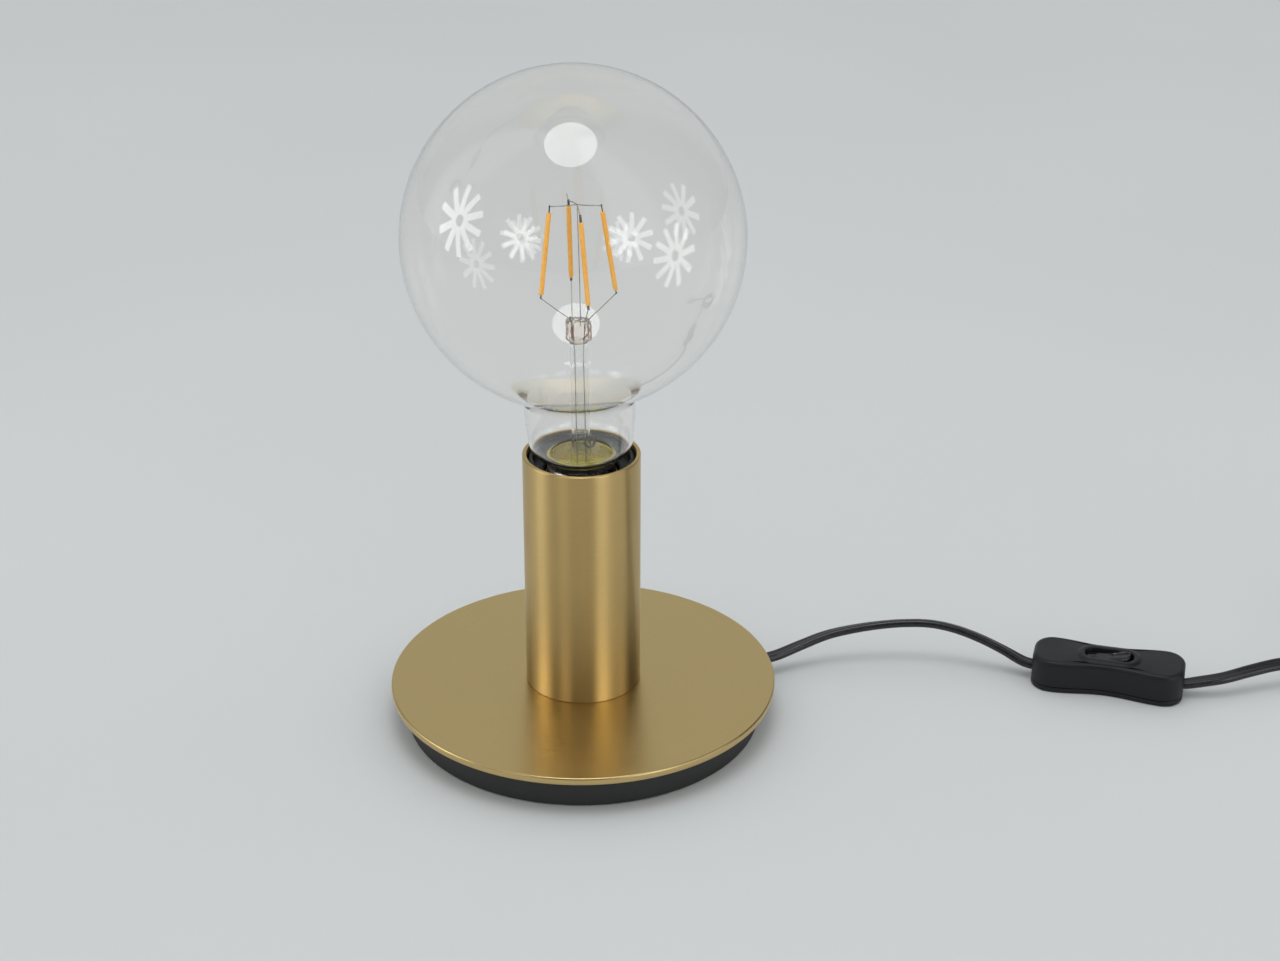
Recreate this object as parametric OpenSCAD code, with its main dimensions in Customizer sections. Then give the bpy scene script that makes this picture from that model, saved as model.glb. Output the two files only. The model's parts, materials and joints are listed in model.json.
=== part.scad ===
// Bare bulb table lamp: a brass disc and tube on a black weighted foot, a globe lamp
// in a screw lampholder, and a flat cord with an in-line rocker switch.
// Millimetres, +Z up. Origin: centre of the foot, on the table. -Y faces the viewer.

/* [Base] */
// Diameter of the brass top plate
plate_d = 150; // [136:1:180]
// Thickness of the brass top plate
plate_t = 3; // [2:0.5:5]
// Radius of the rounded rim of the top plate
plate_edge = 0.8; // [0.3:0.1:0.9]
// Outer diameter of the black foot housing
housing_d = 138; // [128:1:144]
// Height of the housing's top face above the table
housing_h = 13; // [12.5:0.5:18]
// Side wall of the housing
housing_wall = 2.5; // [2:0.25:3.5]
// Roof of the housing
housing_roof = 2; // [1.5:0.25:3]
// Thickness of the foam foot ring
pad_t = 1; // [0.8:0.1:1.5]
// Thickness of the steel bottom cover
cover_t = 1; // [0.8:0.1:1.5]
// Distance of the three cover screws from the housing's side
cover_screw_inset = 15; // [13:1:19]
// Gap between the cast weight and the parts round it
ballast_gap = 0.6; // [0.4:0.1:1]

/* [Column] */
// Outside diameter of the brass tube
tube_d = 44.5; // [42:0.5:50]
// Wall of the brass tube
tube_wall = 1.6; // [1:0.1:1.8]
// Length of the brass tube
tube_h = 96; // [84:1:130]
// Thickness of the steel bridge in the tube's foot
bridge_t = 3; // [2:0.5:4]
// Thread diameter of the hollow clamping rod
nipple_d = 10; // [10:0.5:11]
// Bore of the hollow clamping rod
nipple_bore = 7.6; // [6.5:0.1:8]
// Clearance of holes round the clamping rod
nipple_gap = 0.2; // [0.1:0.05:0.4]
// Width across the flats of the rod's hexagon nuts
nut_af = 14; // [13:0.5:17]
// Thickness of a hexagon nut
nut_t = 3; // [2:0.5:4]
// Thickness of a washer
washer_t = 1; // [0.6:0.1:1.5]

/* [Lampholder] */
// Outside diameter of the lampholder
holder_d = 39.8; // [38:0.2:40.4]
// Height of the lampholder
holder_h = 56; // [54:0.5:60]
// How far its rim lies below the tube's mouth
holder_drop = 1.5; // [0.5:0.5:4]
// Wall of the lampholder's shells
holder_wall = 1.6; // [1.2:0.1:2]
// Height of the lower shell
holder_cap_h = 15.5; // [14:0.5:18]
// Thickness of the contact block
core_t = 9.8; // [8:0.2:11]
// Inside diameter of the threaded contact shell
shell_bore = 26.6; // [26.4:0.1:27]
// Sheet thickness of the contacts
contact_t = 0.5; // [0.3:0.1:0.8]

/* [Bulb] */
// Diameter of the globe
globe_d = 125; // [95:1:126]
// Height above the cap at which the neck starts to flare into the globe
flare_z = 22.4; // [21:0.2:28]
// Wall of the glass
glass_t = 0.9; // [0.7:0.1:1.2]
// Neck diameter just above the shoulder
neck_d = 39.2; // [37:0.2:40]
// Neck diameter below the flare
neck_top_d = 41.4; // [40:0.2:44]
// Length of the screw cap
cap_h = 27; // [26:0.5:28]
// Diameter of the screw cap
cap_d = 26; // [25.6:0.1:26.2]
// Lean of the glass in its cap, towards -X, in degrees
glass_lean = 1.5; // [0:0.1:2]
// Length of the lit part of a filament
filament_l = 30; // [26:1:38]
// Diameter of a filament
filament_d = 1.8; // [1.4:0.1:2.2]
// Radius of the filament ring at its top
filament_top_r = 9.6; // [8:0.2:12]
// Radius of the filament ring at its bottom
filament_low_r = 13.8; // [12:0.2:15]

/* [Cord] */
// Width of the flat cord
cord_w = 5.4; // [5:0.1:5.6]
// Thickness of the flat cord
cord_t = 3.2; // [2.8:0.1:3.4]
// Bearing of the cord's exit from the foot, in degrees
cord_bearing = 21; // [10:1:30]
// Height of the cord's centre where it leaves the foot
cord_exit_z = 7; // [6.8:0.1:7.2]
// Diameter of one insulated core
core_d = 2.2; // [2:0.1:2.4]
// Mean diameter of the stored coil
coil_d = 60; // [56:1:66]

/* [Switch] */
// Length of the in-line switch
switch_l = 60; // [54:1:70]
// Width across its ends
switch_w = 23; // [22:0.5:26]
// Height of its top face
switch_h = 13.6; // [12.6:0.2:15]
// Wall of its shells
switch_wall = 1.8; // [1.4:0.1:2]
// Height of its lower shell
switch_split = 2.4; // [2:0.1:3]
// Draw-in of each long side at the waist
switch_waist = 2.6; // [1:0.1:2.8]
// Height of the raised rim round the rocker
collar_h = 0.8; // [0.4:0.1:1.2]
// Length of the rocker opening
rocker_slot_l = 19.4; // [18:0.2:22]
// Width of the rocker opening
rocker_slot_w = 8.4; // [8:0.1:10]
// Gap between the rocker and its opening
rocker_gap = 0.35; // [0.3:0.05:0.5]
// Travel of the rocker between its two positions, in degrees
rocker_travel = 16; // [12:1:16]

/* [Plug] */
// Length of the plug's body
plug_l = 36; // [34:0.5:40]
// Widest width of the plug's body
plug_w = 26; // [25:0.5:27]
// Thickness of the plug's body
plug_t = 13.6; // [13:0.2:14]
// Diameter of a pin
pin_d = 4; // [4:0.1:4.8]
// Distance between the pins' axes
pin_pitch = 18.6; // [18:0.1:19]
// Length of a pin
pin_l = 19; // [18:0.5:19.5]
// Length of the plug's strain relief
relief_l = 22; // [20:1:30]

/* [Hidden] */
$fn = 96;

// Foot
housing_r = housing_d / 2;
housing_in_r = housing_r - housing_wall;
roof_z = housing_h - housing_roof;
plate_z = housing_h;
plate_top = plate_z + plate_t;
housing_foot_z = 0.5;
housing_edge = 1.5;
cover_z = pad_t;
cover_top = cover_z + cover_t;
cover_gap = 0.3;
pad_in_r = 40;
pad_rim = 5;
boss_r = 3.5;
screw_r = 1.5;
screw_l = 6;
screw_head_r = 2.8;
cover_screw_r = housing_r - cover_screw_inset;
screw_gap = 0.1;
screw_angles = [90, 210, 330];
rod_hole_r = nipple_d / 2 + nipple_gap;
ballast_in_r = 16;
ballast_out_r = housing_in_r - 4;
channel_w = 27;

// Column
tube_top = plate_top + tube_h;
tube_in_r = tube_d / 2 - tube_wall;
bridge_gap = 0.1;
nut_low_z = roof_z - washer_t - nut_t;
rod_low_z = nut_low_z - 1.5;
nut_high_z = plate_top + bridge_t + washer_t;

// Lampholder
holder_z = tube_top - holder_drop - holder_h;
holder_top = holder_z + holder_h;
holder_r = holder_d / 2;
holder_in_r = holder_r - holder_wall;
holder_split = holder_z + holder_cap_h;
collar_l = 8;
collar_r = nipple_d / 2 + 3.2;
dome_z = holder_z + 9.5;
rod_top = holder_z + collar_l;
core_z = holder_split + 0.2;
core_top = core_z + core_t;
core_r = holder_in_r - 0.4;
lip_z = holder_top - 5.5;
lip_t = 2;
lip_r = shell_bore / 2 + 0.9;
shell_top = lip_z - 1;
tongue_rise = 3.5;
tongue_w = 5;
terminal_x = 10;
terminal_w = 5;
terminal_h = 4;

// Bulb, measured from its tip, which rests on the tongue
tip_gap = 0.2;
tip_z = core_top + tongue_rise + contact_t + tip_gap;
cap_top = tip_z + cap_h;
cap_wall = 0.35;
cap_cone_h = 6;
insulator_h = 4.5;
insulator_r = 10;
tip_r = 4.8;
tip_h = 1.5;
globe_r = globe_d / 2;
foot_gap = 0.3;
foot_r = cap_d / 2 - cap_wall - foot_gap;
foot_h = 1.5;
seat_gap = 0.5;
shoulder_r = 6.2;
neck_r = neck_d / 2;
neck_top_r = neck_top_d / 2;
neck_h = 16;
flare_r = 6;
globe_c = flare_z + sqrt(pow(globe_r + flare_r, 2) - pow(neck_top_r + flare_r, 2));
filament_low_z = globe_c - 20.2;
stem_r = 3.4;
stem_wall = 0.8;
pinch_z = filament_low_z - 20.1;
pinch_h = 9.6;
pinch_w = 9.4;
pinch_t = 4;
mount_lean = 0.8;
wire_r = 0.3;
wire_gap = 0.4;
wire_foot = [[4, -0.6], [-2.2, 0.9], [-2.8, -0.9], [2.6, -1.2]];
tab_l = 2.2;
tab_r = 0.45;
filament_low_place = [[1, 0.09], [-0.2, 1.07], [-0.95, -0.22], [0.3, -1.01]];
filament_top_place = [[0.99, 0.27], [-0.29, 0.96], [-1.01, 0.33], [0.21, -0.89]];
driver_gap = 0.25;

// Cord and strain relief
relief_hole_gap = 0.2;
relief_in = 10;
relief_out = 8;
relief_r = 3.9;
relief_tip_r = 3.3;
flange_gap = 0.2;
exit_r = housing_r + relief_out;
exit_dir = [cos(cord_bearing), sin(cord_bearing), 0];
exit_side = [-sin(cord_bearing), cos(cord_bearing), 0];
exit_point = [for (i = [0:2]) exit_r * exit_dir[i] + (i == 2 ? cord_exit_z : 0)];
clamp_r = housing_r - 23;
sheath_end_r = clamp_r - 12;
clamp_t = 1.4;
clamp_l = 20;
clamp_w = 8;
clamp_screw_y = 7;
clamp_screw_l = 5;
clamp_gap = 0.1;

// In-line switch: its own frame has +X towards the plug and Z = 0 on the table
switch_x = 210.2;
switch_y = 19.5;
switch_yaw = -14.5;
switch_cord_z = 5.4;
switch_corner = 8;
switch_edge = 2.2;
slot_fn = 48;
collar_margin = 3;
collar_edge = 0.5;
pivot_z = switch_h - 4.6;
pivot_r = 1;
pivot_gap = 0.05;
rocker_r = rocker_slot_l / 2 + 0.2;
rocker_w = rocker_slot_w - 2 * rocker_gap;
rocker_mid = switch_h - 0.3;
rocker_vee = 5;
rocker_rest = -rocker_travel / 2;
plunger_r = 0.9;
plunger_l = 3.2;
seesaw_ratio = 0.75;
seesaw_rest = seesaw_ratio * rocker_travel / 2;
seesaw_axis_z = pivot_z - 4.3;
seesaw_t = 0.6;
seesaw_l = 11;
seesaw_w = 5;
seesaw_pin_r = 0.6;
grip_x = switch_l / 2 - 5;
switch_screw_x = 20;
switch_screw_y = 6.6;
switch_boss_r = 2.3;
switch_screw_r = 1.1;
switch_screw_l = 7;
terminal_block = [5, 4, 4];
terminal_block_x = 12;
strip_t = 0.4;
cord_in = 8;

// Route of the free cord from the foot to the switch: X, Y, Z and roll
lead_points = [
    [78, 30, 7.6, 0], [87, 33.6, 9.8, -5], [98, 37, 12.8, -12], [108.5, 39, 14.5, -18],
    [119, 40, 15.8, -22], [129, 40, 16.8, -24], [140, 39, 17.2, -24], [150, 37, 16, -22],
    [160, 34, 13.4, -18], [170, 31, 9.4, -12]
];
// Route of the free cord from the switch to the coil
tail_points = [
    [244.5, 11.8, 6.2, 8], [255, 12.4, 7.8, 12], [266, 15.6, 9.2, 18], [278, 18.8, 10.4, 26],
    [290, 21.4, 10, 38], [303, 23, 8.6, 52], [317, 23.6, 6.4, 68], [332, 23.2, 4.4, 82]
];

// Stored coil: two layers that spiral in and out again, the cord standing on edge
coil_x = 350;
coil_y = 60;
coil_roll = 90;
coil_turns = 8;
coil_rings = 24;
coil_gap = 0.6;
coil_lift = 0.8;
coil_pitch = cord_t + coil_gap;
coil_layer = cord_w + coil_gap;
coil_z = coil_lift + cord_w / 2;
coil_out_r = coil_d / 2 + coil_pitch * coil_turns / 4;
coil_in_r = coil_d / 2 - coil_pitch * coil_turns / 4;
coil_start = [coil_x, coil_y - coil_out_r, coil_z];
coil_end = [coil_x, coil_y - coil_out_r, coil_z + coil_layer];
tie_t = 0.6;
tie_w = 6;
tie_gap = 0.15;

// Plug, lying beside the coil and pointing towards -Y, and the cord's route to it from the coil
plug_x = coil_x + 30;
plug_y = coil_y - 70;
plug_z = plug_t / 2;
plug_nose = 15;
pin_root = 8;
end_points = [
    [plug_x - 15, coil_end[1], 8.6, 80], [plug_x - 7, coil_end[1] - 4.8, 7.4, 60],
    [plug_x - 2, plug_y + 19.6, 6.2, 35], [plug_x, plug_y + 10, 6, 12]
];
relief_tail_r = 3.6;
relief_head_r = 5;
sleeve_l = 10;
sleeve_wall = 0.3;
sleeve_gap = 0.02;

// ---------------------------------------------------------------- helpers

function dist(a, b) = norm(b - a);
function xyz(p) = [p[0], p[1], p[2]];
function unit(v) = v / norm(v);
function arc(cx, cy, r, a0, a1, n) =
    [for (i = [0:n]) let (a = a0 + (a1 - a0) * i / n) [cx + r * cos(a), cy + r * sin(a)]];
function smooth(t) = t <= 0 ? 0 : t >= 1 ? 1 : t * t * (3 - 2 * t);

// Length along a route
function route_length(p, i = 1) = i >= len(p) ? 0 : dist(xyz(p[i - 1]), xyz(p[i])) + route_length(p, i + 1);

// Outline of the flat cord's section with 8 or 6 corners
function flat_section(w, t, sides) = let (a = w / 2, b = t / 2, c = 0.3 * t)
    sides == 6
    ? [[a, 0], [a - c, b], [c - a, b], [-a, 0], [c - a, -b], [a - c, -b]]
    : [[a, 0.4 * b], [a - c, b], [c - a, b], [-a, 0.4 * b],
       [-a, -0.4 * b], [c - a, -b], [a - c, -b], [a, -0.4 * b]];
function round_section(d, sides) =
    [for (i = [0:sides - 1]) d / 2 * [cos(360 * i / sides), sin(360 * i / sides)]];

// Tangent at point i of a route, with the end directions given
function tangent(p, i, t0, t1) =
    i == 0 ? unit(t0)
    : i == len(p) - 1 ? unit(t1)
    : unit(unit(xyz(p[i + 1]) - xyz(p[i])) + unit(xyz(p[i]) - xyz(p[i - 1])));

// One ring of the sweep: the section turned by the point's roll about the tangent
function ring(p, t, section, up) = let (
        side = unit(cross(up, t)),
        top = cross(t, side),
        roll = len(p) > 3 ? p[3] : 0)
    [for (s = section) xyz(p)
        + (s[0] * cos(roll) - s[1] * sin(roll)) * side
        + (s[0] * sin(roll) + s[1] * cos(roll)) * top];

function rings(p, section, t0, t1, up = [0, 0, 1]) =
    [for (i = [0:len(p) - 1]) ring(p[i], tangent(p, i, t0, t1), section, up)];

// A closed tube through a list of rings, with flat ends, all faces triangles
module skin(r) {
    n = len(r[0]);
    m = len(r);
    sides = [for (i = [0:m - 2], k = [0:n - 1]) let (a = i * n + k, b = i * n + (k + 1) % n)
        each [[a, a + n, b], [b, a + n, b + n]]];
    caps = [for (k = [1:n - 2]) each [[0, k, k + 1], [(m - 1) * n, (m - 1) * n + k + 1, (m - 1) * n + k]]];
    polyhedron([for (ri = r) each ri], concat(sides, caps), convexity = 8);
}

module rod(a, b, r, fn = 16) {
    v = b - a;
    translate(a)
        rotate([0, acos(v[2] / norm(v)), atan2(v[1], v[0])])
            cylinder(h = norm(v), r = r, $fn = fn);
}

// Slot outline with round ends, and a rectangle with rounded corners
module stadium(l, w) {
    square([l - w, w], center = true);
    for (s = [-1, 1])
        translate([s * (l - w) / 2, 0]) circle(d = w, $fn = slot_fn);
}

module rounded(l, w, r) {
    square([l - 2 * r, w], center = true);
    square([l, w - 2 * r], center = true);
    for (x = [-1, 1], y = [-1, 1])
        translate([x * (l / 2 - r), y * (w / 2 - r)]) circle(r = r, $fn = slot_fn);
}

module at_exit(r) {
    rotate([0, 0, cord_bearing])
        translate([r, 0, cord_exit_z])
            rotate([0, 90, 0]) rotate([0, 0, 90]) children();
}

module at_switch() {
    translate([switch_x, switch_y, 0]) rotate([0, 0, switch_yaw]) children();
}

function switch_point(x, z) = [switch_x + x * cos(switch_yaw), switch_y + x * sin(switch_yaw), z];
switch_dir = [cos(switch_yaw), sin(switch_yaw), 0];

// ---------------------------------------------------------------- foot

module foot_pad() {
    color([0.13, 0.13, 0.13])
        difference() {
            cylinder(h = pad_t, r = housing_in_r - pad_rim / 2);
            translate([0, 0, -1]) cylinder(h = pad_t + 2, r = pad_in_r);
        }
}

module bottom_cover() {
    color([0.3, 0.3, 0.32])
        difference() {
            translate([0, 0, cover_z]) cylinder(h = cover_t, r = housing_in_r - cover_gap);
            for (a = screw_angles)
                rotate([0, 0, a]) translate([cover_screw_r, 0, cover_z]) {
                    translate([0, 0, -1]) cylinder(h = cover_t + 2, r = screw_r + screw_gap, $fn = 32);
                    translate([0, 0, -0.01])
                        cylinder(h = cover_t * 0.7, r = screw_head_r + screw_gap, $fn = 32);
                }
        }
}

module cover_screws() {
    color([0.6, 0.6, 0.62])
        for (a = screw_angles)
            rotate([0, 0, a]) translate([cover_screw_r, 0, cover_z]) {
                cylinder(h = cover_t * 0.6, r = screw_head_r, $fn = 32);
                cylinder(h = screw_l, r = screw_r, $fn = 32);
            }
}

// Pressed black cup, open below, with three screw bosses and the two bosses of the cord clamp
module foot_housing() {
    color([0.14, 0.14, 0.15])
        difference() {
            union() {
                difference() {
                    rotate_extrude()
                        polygon(concat(
                            [[0, housing_foot_z], [housing_r - 0.6, housing_foot_z],
                             [housing_r, housing_foot_z + 0.6]],
                            arc(housing_r - housing_edge, housing_h - housing_edge, housing_edge, 0, 90, 8),
                            [[0, housing_h]]));
                    translate([0, 0, housing_foot_z - 1])
                        cylinder(h = roof_z - housing_foot_z + 1, r = housing_in_r);
                }
                for (a = screw_angles)
                    rotate([0, 0, a]) translate([cover_screw_r, 0, cover_top])
                        cylinder(h = roof_z - cover_top + 0.5, r = boss_r, $fn = 32);
                rotate([0, 0, cord_bearing]) {
                    for (s = [-1, 1])
                        translate([clamp_r, s * clamp_screw_y, cord_exit_z - cord_t / 2])
                            cylinder(h = roof_z - cord_exit_z + cord_t / 2 + 0.5, r = 2.6, $fn = 32);
                    translate([clamp_r - 2, -clamp_screw_y, cord_exit_z + cord_t / 2 + clamp_gap])
                        cube([4, 2 * clamp_screw_y, roof_z - cord_exit_z - cord_t / 2 - clamp_gap + 0.5]);
                }
            }
            translate([0, 0, -1]) cylinder(h = housing_h + 2, r = rod_hole_r, $fn = 48);
            at_exit(housing_in_r - 2)
                cylinder(h = housing_wall + 4, r = relief_r - 0.5 + screw_gap, $fn = 48);
            for (a = screw_angles)
                rotate([0, 0, a]) translate([cover_screw_r, 0, cover_top - 1])
                    cylinder(h = screw_l + 1, r = screw_r + screw_gap, $fn = 32);
            rotate([0, 0, cord_bearing])
                for (s = [-1, 1])
                    translate([clamp_r, s * clamp_screw_y, cord_exit_z - cord_t / 2 - 1])
                        cylinder(h = clamp_screw_l + 0.2, r = 1.3, $fn = 24);
        }
}

// Cast weight: a thick ring with a channel for the cord and three holes for the bosses
module ballast_weight() {
    color([0.35, 0.34, 0.33])
        difference() {
            translate([0, 0, cover_top + ballast_gap])
                cylinder(h = roof_z - cover_top - 2 * ballast_gap, r = ballast_out_r);
            translate([0, 0, cover_top]) cylinder(h = housing_h, r = ballast_in_r);
            rotate([0, 0, cord_bearing])
                translate([0, -channel_w / 2, cover_top]) cube([housing_r, channel_w, housing_h]);
            for (a = screw_angles)
                rotate([0, 0, a]) translate([cover_screw_r, 0, cover_top])
                    cylinder(h = housing_h, r = boss_r + ballast_gap, $fn = 32);
        }
}

module top_plate() {
    color([0.72, 0.6, 0.36])
        difference() {
            rotate_extrude($fn = 144)
                polygon(concat(
                    [[0, plate_z]],
                    arc(plate_d / 2 - plate_edge, plate_z + plate_edge, plate_edge, -90, 0, 6),
                    arc(plate_d / 2 - plate_edge, plate_top - plate_edge, plate_edge, 0, 90, 6),
                    [[0, plate_top]]));
            translate([0, 0, plate_z - 1]) cylinder(h = plate_t + 2, r = rod_hole_r, $fn = 48);
        }
}

// ---------------------------------------------------------------- column

module clamping_rod() {
    color([0.75, 0.7, 0.55])
        difference() {
            translate([0, 0, rod_low_z]) cylinder(h = rod_top - rod_low_z, d = nipple_d, $fn = 48);
            translate([0, 0, rod_low_z - 1])
                cylinder(h = rod_top - rod_low_z + 2, d = nipple_bore, $fn = 48);
        }
}

module rod_washers() {
    color([0.7, 0.7, 0.72])
        for (z = [roof_z - washer_t, plate_top + bridge_t])
            difference() {
                translate([0, 0, z]) cylinder(h = washer_t, d = nut_af + 6, $fn = 48);
                translate([0, 0, z - 1]) cylinder(h = washer_t + 2, r = rod_hole_r, $fn = 48);
            }
}

module rod_nuts() {
    color([0.75, 0.72, 0.6])
        for (z = [nut_low_z, nut_high_z])
            difference() {
                translate([0, 0, z]) cylinder(h = nut_t, d = nut_af / cos(30), $fn = 6);
                translate([0, 0, z - 1]) cylinder(h = nut_t + 2, d = nipple_d + 0.1, $fn = 48);
            }
}

// Steel disc pressed into the tube's foot, with two slots left by its forming tool
module tube_bridge() {
    color([0.62, 0.62, 0.64])
        difference() {
            translate([0, 0, plate_top]) cylinder(h = bridge_t, r = tube_in_r - bridge_gap);
            translate([0, 0, plate_top - 1]) cylinder(h = bridge_t + 2, r = rod_hole_r, $fn = 48);
            for (a = [0, 180])
                rotate([0, 0, a]) translate([14.5, 0, plate_top - 1])
                    linear_extrude(bridge_t + 2) rotate(90) stadium(12, 4);
        }
}

module column_tube() {
    color([0.72, 0.58, 0.33])
        rotate_extrude($fn = 144)
            polygon(concat(
                [[tube_in_r, plate_top], [tube_d / 2, plate_top]],
                arc(tube_d / 2 - 0.4, tube_top - 0.4, 0.4, 0, 90, 4),
                arc(tube_in_r + 0.3, tube_top - 0.3, 0.3, 90, 180, 4)));
}

// ---------------------------------------------------------------- lampholder

module holder_lower_shell() {
    color([0.07, 0.07, 0.07])
        rotate_extrude()
            polygon(concat(
                [[nipple_d / 2 + 0.05, holder_z], [collar_r, holder_z], [collar_r, holder_z + collar_l - 2]],
                arc(holder_r - 7, dome_z + 0.5, 7, -60, 0, 8),
                [[holder_r, holder_split], [holder_in_r - 1, holder_split],
                 [holder_in_r - 1, dome_z + 1.5], [collar_r + 1.5, holder_z + collar_l],
                 [nipple_d / 2 + 0.05, holder_z + collar_l]]));
}

// Smooth skirt with the lip that holds the contact block and shell down
module holder_upper_shell() {
    color([0.06, 0.06, 0.06])
        rotate_extrude()
            polygon(concat(
                [[holder_in_r, holder_split], [holder_r, holder_split]],
                arc(holder_r - 0.5, holder_top - 0.5, 0.5, 0, 90, 4),
                arc(holder_in_r + 0.5, holder_top - 0.5, 0.5, 90, 180, 4),
                [[holder_in_r, lip_z + lip_t], [lip_r, lip_z + lip_t - 0.5],
                 [lip_r, lip_z], [holder_in_r, lip_z]]));
}

module contact_block() {
    color([0.85, 0.83, 0.78])
        difference() {
            translate([0, 0, core_z]) cylinder(h = core_t, r = core_r);
            for (s = [-1, 1])
                translate([s * terminal_x, 0, core_z - 1]) cylinder(h = core_t + 2, r = 1.4, $fn = 24);
        }
}

module screw_shell() {
    color([0.8, 0.66, 0.35])
        rotate_extrude()
            translate([shell_bore / 2, core_top]) square([0.4, shell_top - core_top]);
}

// Sprung tongue under the bulb's tip
module centre_contact() {
    x0 = -terminal_x - 1.5;
    color([0.85, 0.7, 0.4])
        translate([0, tongue_w / 2, 0]) rotate([90, 0, 0])
            linear_extrude(tongue_w)
                polygon([
                    [x0, core_top], [-6, core_top], [-1.5, core_top + tongue_rise],
                    [3, core_top + tongue_rise], [3, core_top + tongue_rise + contact_t],
                    [-1.8, core_top + tongue_rise + contact_t], [-6.3, core_top + contact_t],
                    [x0, core_top + contact_t]]);
}

module side_contact() {
    x0 = shell_bore / 2 + 0.4 + 0.05;
    color([0.85, 0.7, 0.4])
        translate([0, 3, 0]) rotate([90, 0, 0])
            linear_extrude(6)
                polygon([
                    [x0, core_top], [core_r - 0.5, core_top], [core_r - 0.5, core_top + contact_t],
                    [x0 + contact_t, core_top + contact_t], [x0 + contact_t, core_top + 12],
                    [x0, core_top + 12]]);
}

module holder_terminals() {
    color([0.8, 0.66, 0.35])
        for (s = [-1, 1])
            translate([s * terminal_x, 0, core_z])
                difference() {
                    union() {
                        translate([-terminal_w / 2, -terminal_w / 2, -terminal_h])
                            cube([terminal_w, terminal_w, terminal_h]);
                        cylinder(h = core_t, r = 1.3, $fn = 24);
                    }
                    translate([s * -5, 0, -terminal_h / 2]) rotate([0, 90, 0])
                        cylinder(h = 10, r = core_d / 2 + 0.1, center = true, $fn = 24);
                    translate([0, 0, -terminal_h - 1]) cylinder(h = 2.6, r = 1, $fn = 24);
                }
}

module terminal_screws() {
    color([0.7, 0.7, 0.72])
        for (s = [-1, 1])
            translate([s * terminal_x, 0, core_z - terminal_h]) {
                translate([0, 0, -1.4]) cylinder(h = 1.4, r = 1.8, $fn = 24);
                cylinder(h = 0.8, r = 0.9, $fn = 24);
            }
}

// Insulated cores: from the cut sheath, up through the rod, to the two terminals
function foot_point(r, y, z) = [
    r * exit_dir[0] + y * exit_side[0], r * exit_dir[1] + y * exit_side[1], z];

function core_route(s) = [
    foot_point(sheath_end_r, s * 1.3, cord_exit_z), foot_point(sheath_end_r - 7, s * 1.4, 5.6),
    foot_point(16, s * 1.5, cover_top + 1.5), foot_point(7, s * 1.4, cover_top + 1.4),
    foot_point(3.4, s * 1.4, cover_top + 1.8), foot_point(0.9, s * 1.3, rod_low_z - 0.3),
    foot_point(0, s * 1.3, rod_low_z + 3),
    foot_point(0, s * 1.3, 30), [0.2, s * 1.3, rod_top - 2],
    [-s * 1.2, s * 1.2, rod_top + 1], [-s * 3.6, s * 0.5, core_z - terminal_h / 2 - 1],
    [-s * 5.4, 0, core_z - terminal_h / 2], [-s * (terminal_x - 2.6), 0, core_z - terminal_h / 2]];

module core_wire(s) {
    r = core_route(s);
    n = len(r) - 1;
    skin(rings(r, round_section(core_d, 8), -exit_dir, [-s, 0, 0], up = exit_side));
    rod(r[n] + [s * 0.5, 0, 0], [-s * (terminal_x - 0.3), 0, core_z - terminal_h / 2], 0.6);
}

module brown_core() color([0.36, 0.2, 0.1]) core_wire(1);
module blue_core() color([0.1, 0.25, 0.6]) core_wire(-1);

// ---------------------------------------------------------------- bulb

module at_cap() translate([0, 0, cap_top]) children();
module at_glass() at_cap() rotate([0, -glass_lean, 0]) children();
module at_mount() at_cap() rotate([0, -mount_lean, 0]) children();

// Profile of the globe and neck, drawn in by t: foot, shoulder, neck, flare and globe
function glass_profile(t) = let (
        rs = shoulder_r - t,
        rf = flare_r + t,
        rg = globe_r - t,
        nr = neck_r - t,
        nt = neck_top_r - t,
        fx = nt + rf,
        fz = globe_c - sqrt(pow(rg + rf, 2) - pow(fx, 2)),
        fa = atan2(globe_c - fz, -fx))
    concat(
        arc(nr - rs, seat_gap + shoulder_r, rs, -90, 0, 10),
        [[nt - 0.2, neck_h]],
        arc(fx, fz, rf, 180, fa, 8),
        arc(0, globe_c, rg, fa - 180, 90, 56));

module glass_envelope() {
    color([0.85, 0.9, 0.92, 0.35])
        at_glass() rotate_extrude()
            difference() {
                polygon(concat([[0, -foot_h], [foot_r, -foot_h], [foot_r, seat_gap]], glass_profile(0)));
                polygon(concat(
                    [[0, -foot_h - 1], [foot_r - glass_t, -foot_h - 1],
                     [foot_r - glass_t, seat_gap + glass_t]],
                    glass_profile(glass_t)));
            }
}

// Flare, stem tube and pinch that carry the filaments
module glass_stem() {
    flare = foot_r - glass_t - 0.2;
    bend = flare - stem_r;
    bend_z = bend + stem_wall - foot_h + 0.4;
    color([0.85, 0.9, 0.92, 0.35])
        at_mount() {
            rotate_extrude()
                polygon(concat(
                    arc(flare, bend_z, bend, -90, -180, 8),
                    [[stem_r, pinch_z], [stem_r - stem_wall, pinch_z]],
                    arc(flare, bend_z, bend + stem_wall, -180, -90, 8)));
            translate([-pinch_w / 2, -pinch_t / 2, pinch_z]) cube([pinch_w, pinch_t, pinch_h]);
        }
}

// Ends of a filament: all are one length, set by hand, so each stands a little differently
function filament_low(k) = filament_low_r * filament_low_place[k];
function filament_high(k) = filament_top_r * filament_top_place[k];
function filament_foot(k) = concat(filament_low(k), [filament_low_z]);
function filament_tip(k) = concat(filament_high(k), [
    filament_low_z + sqrt(pow(filament_l, 2) - pow(dist(filament_low(k), filament_high(k)), 2))]);
function filament_dir(k) = unit(filament_tip(k) - filament_foot(k));

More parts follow.
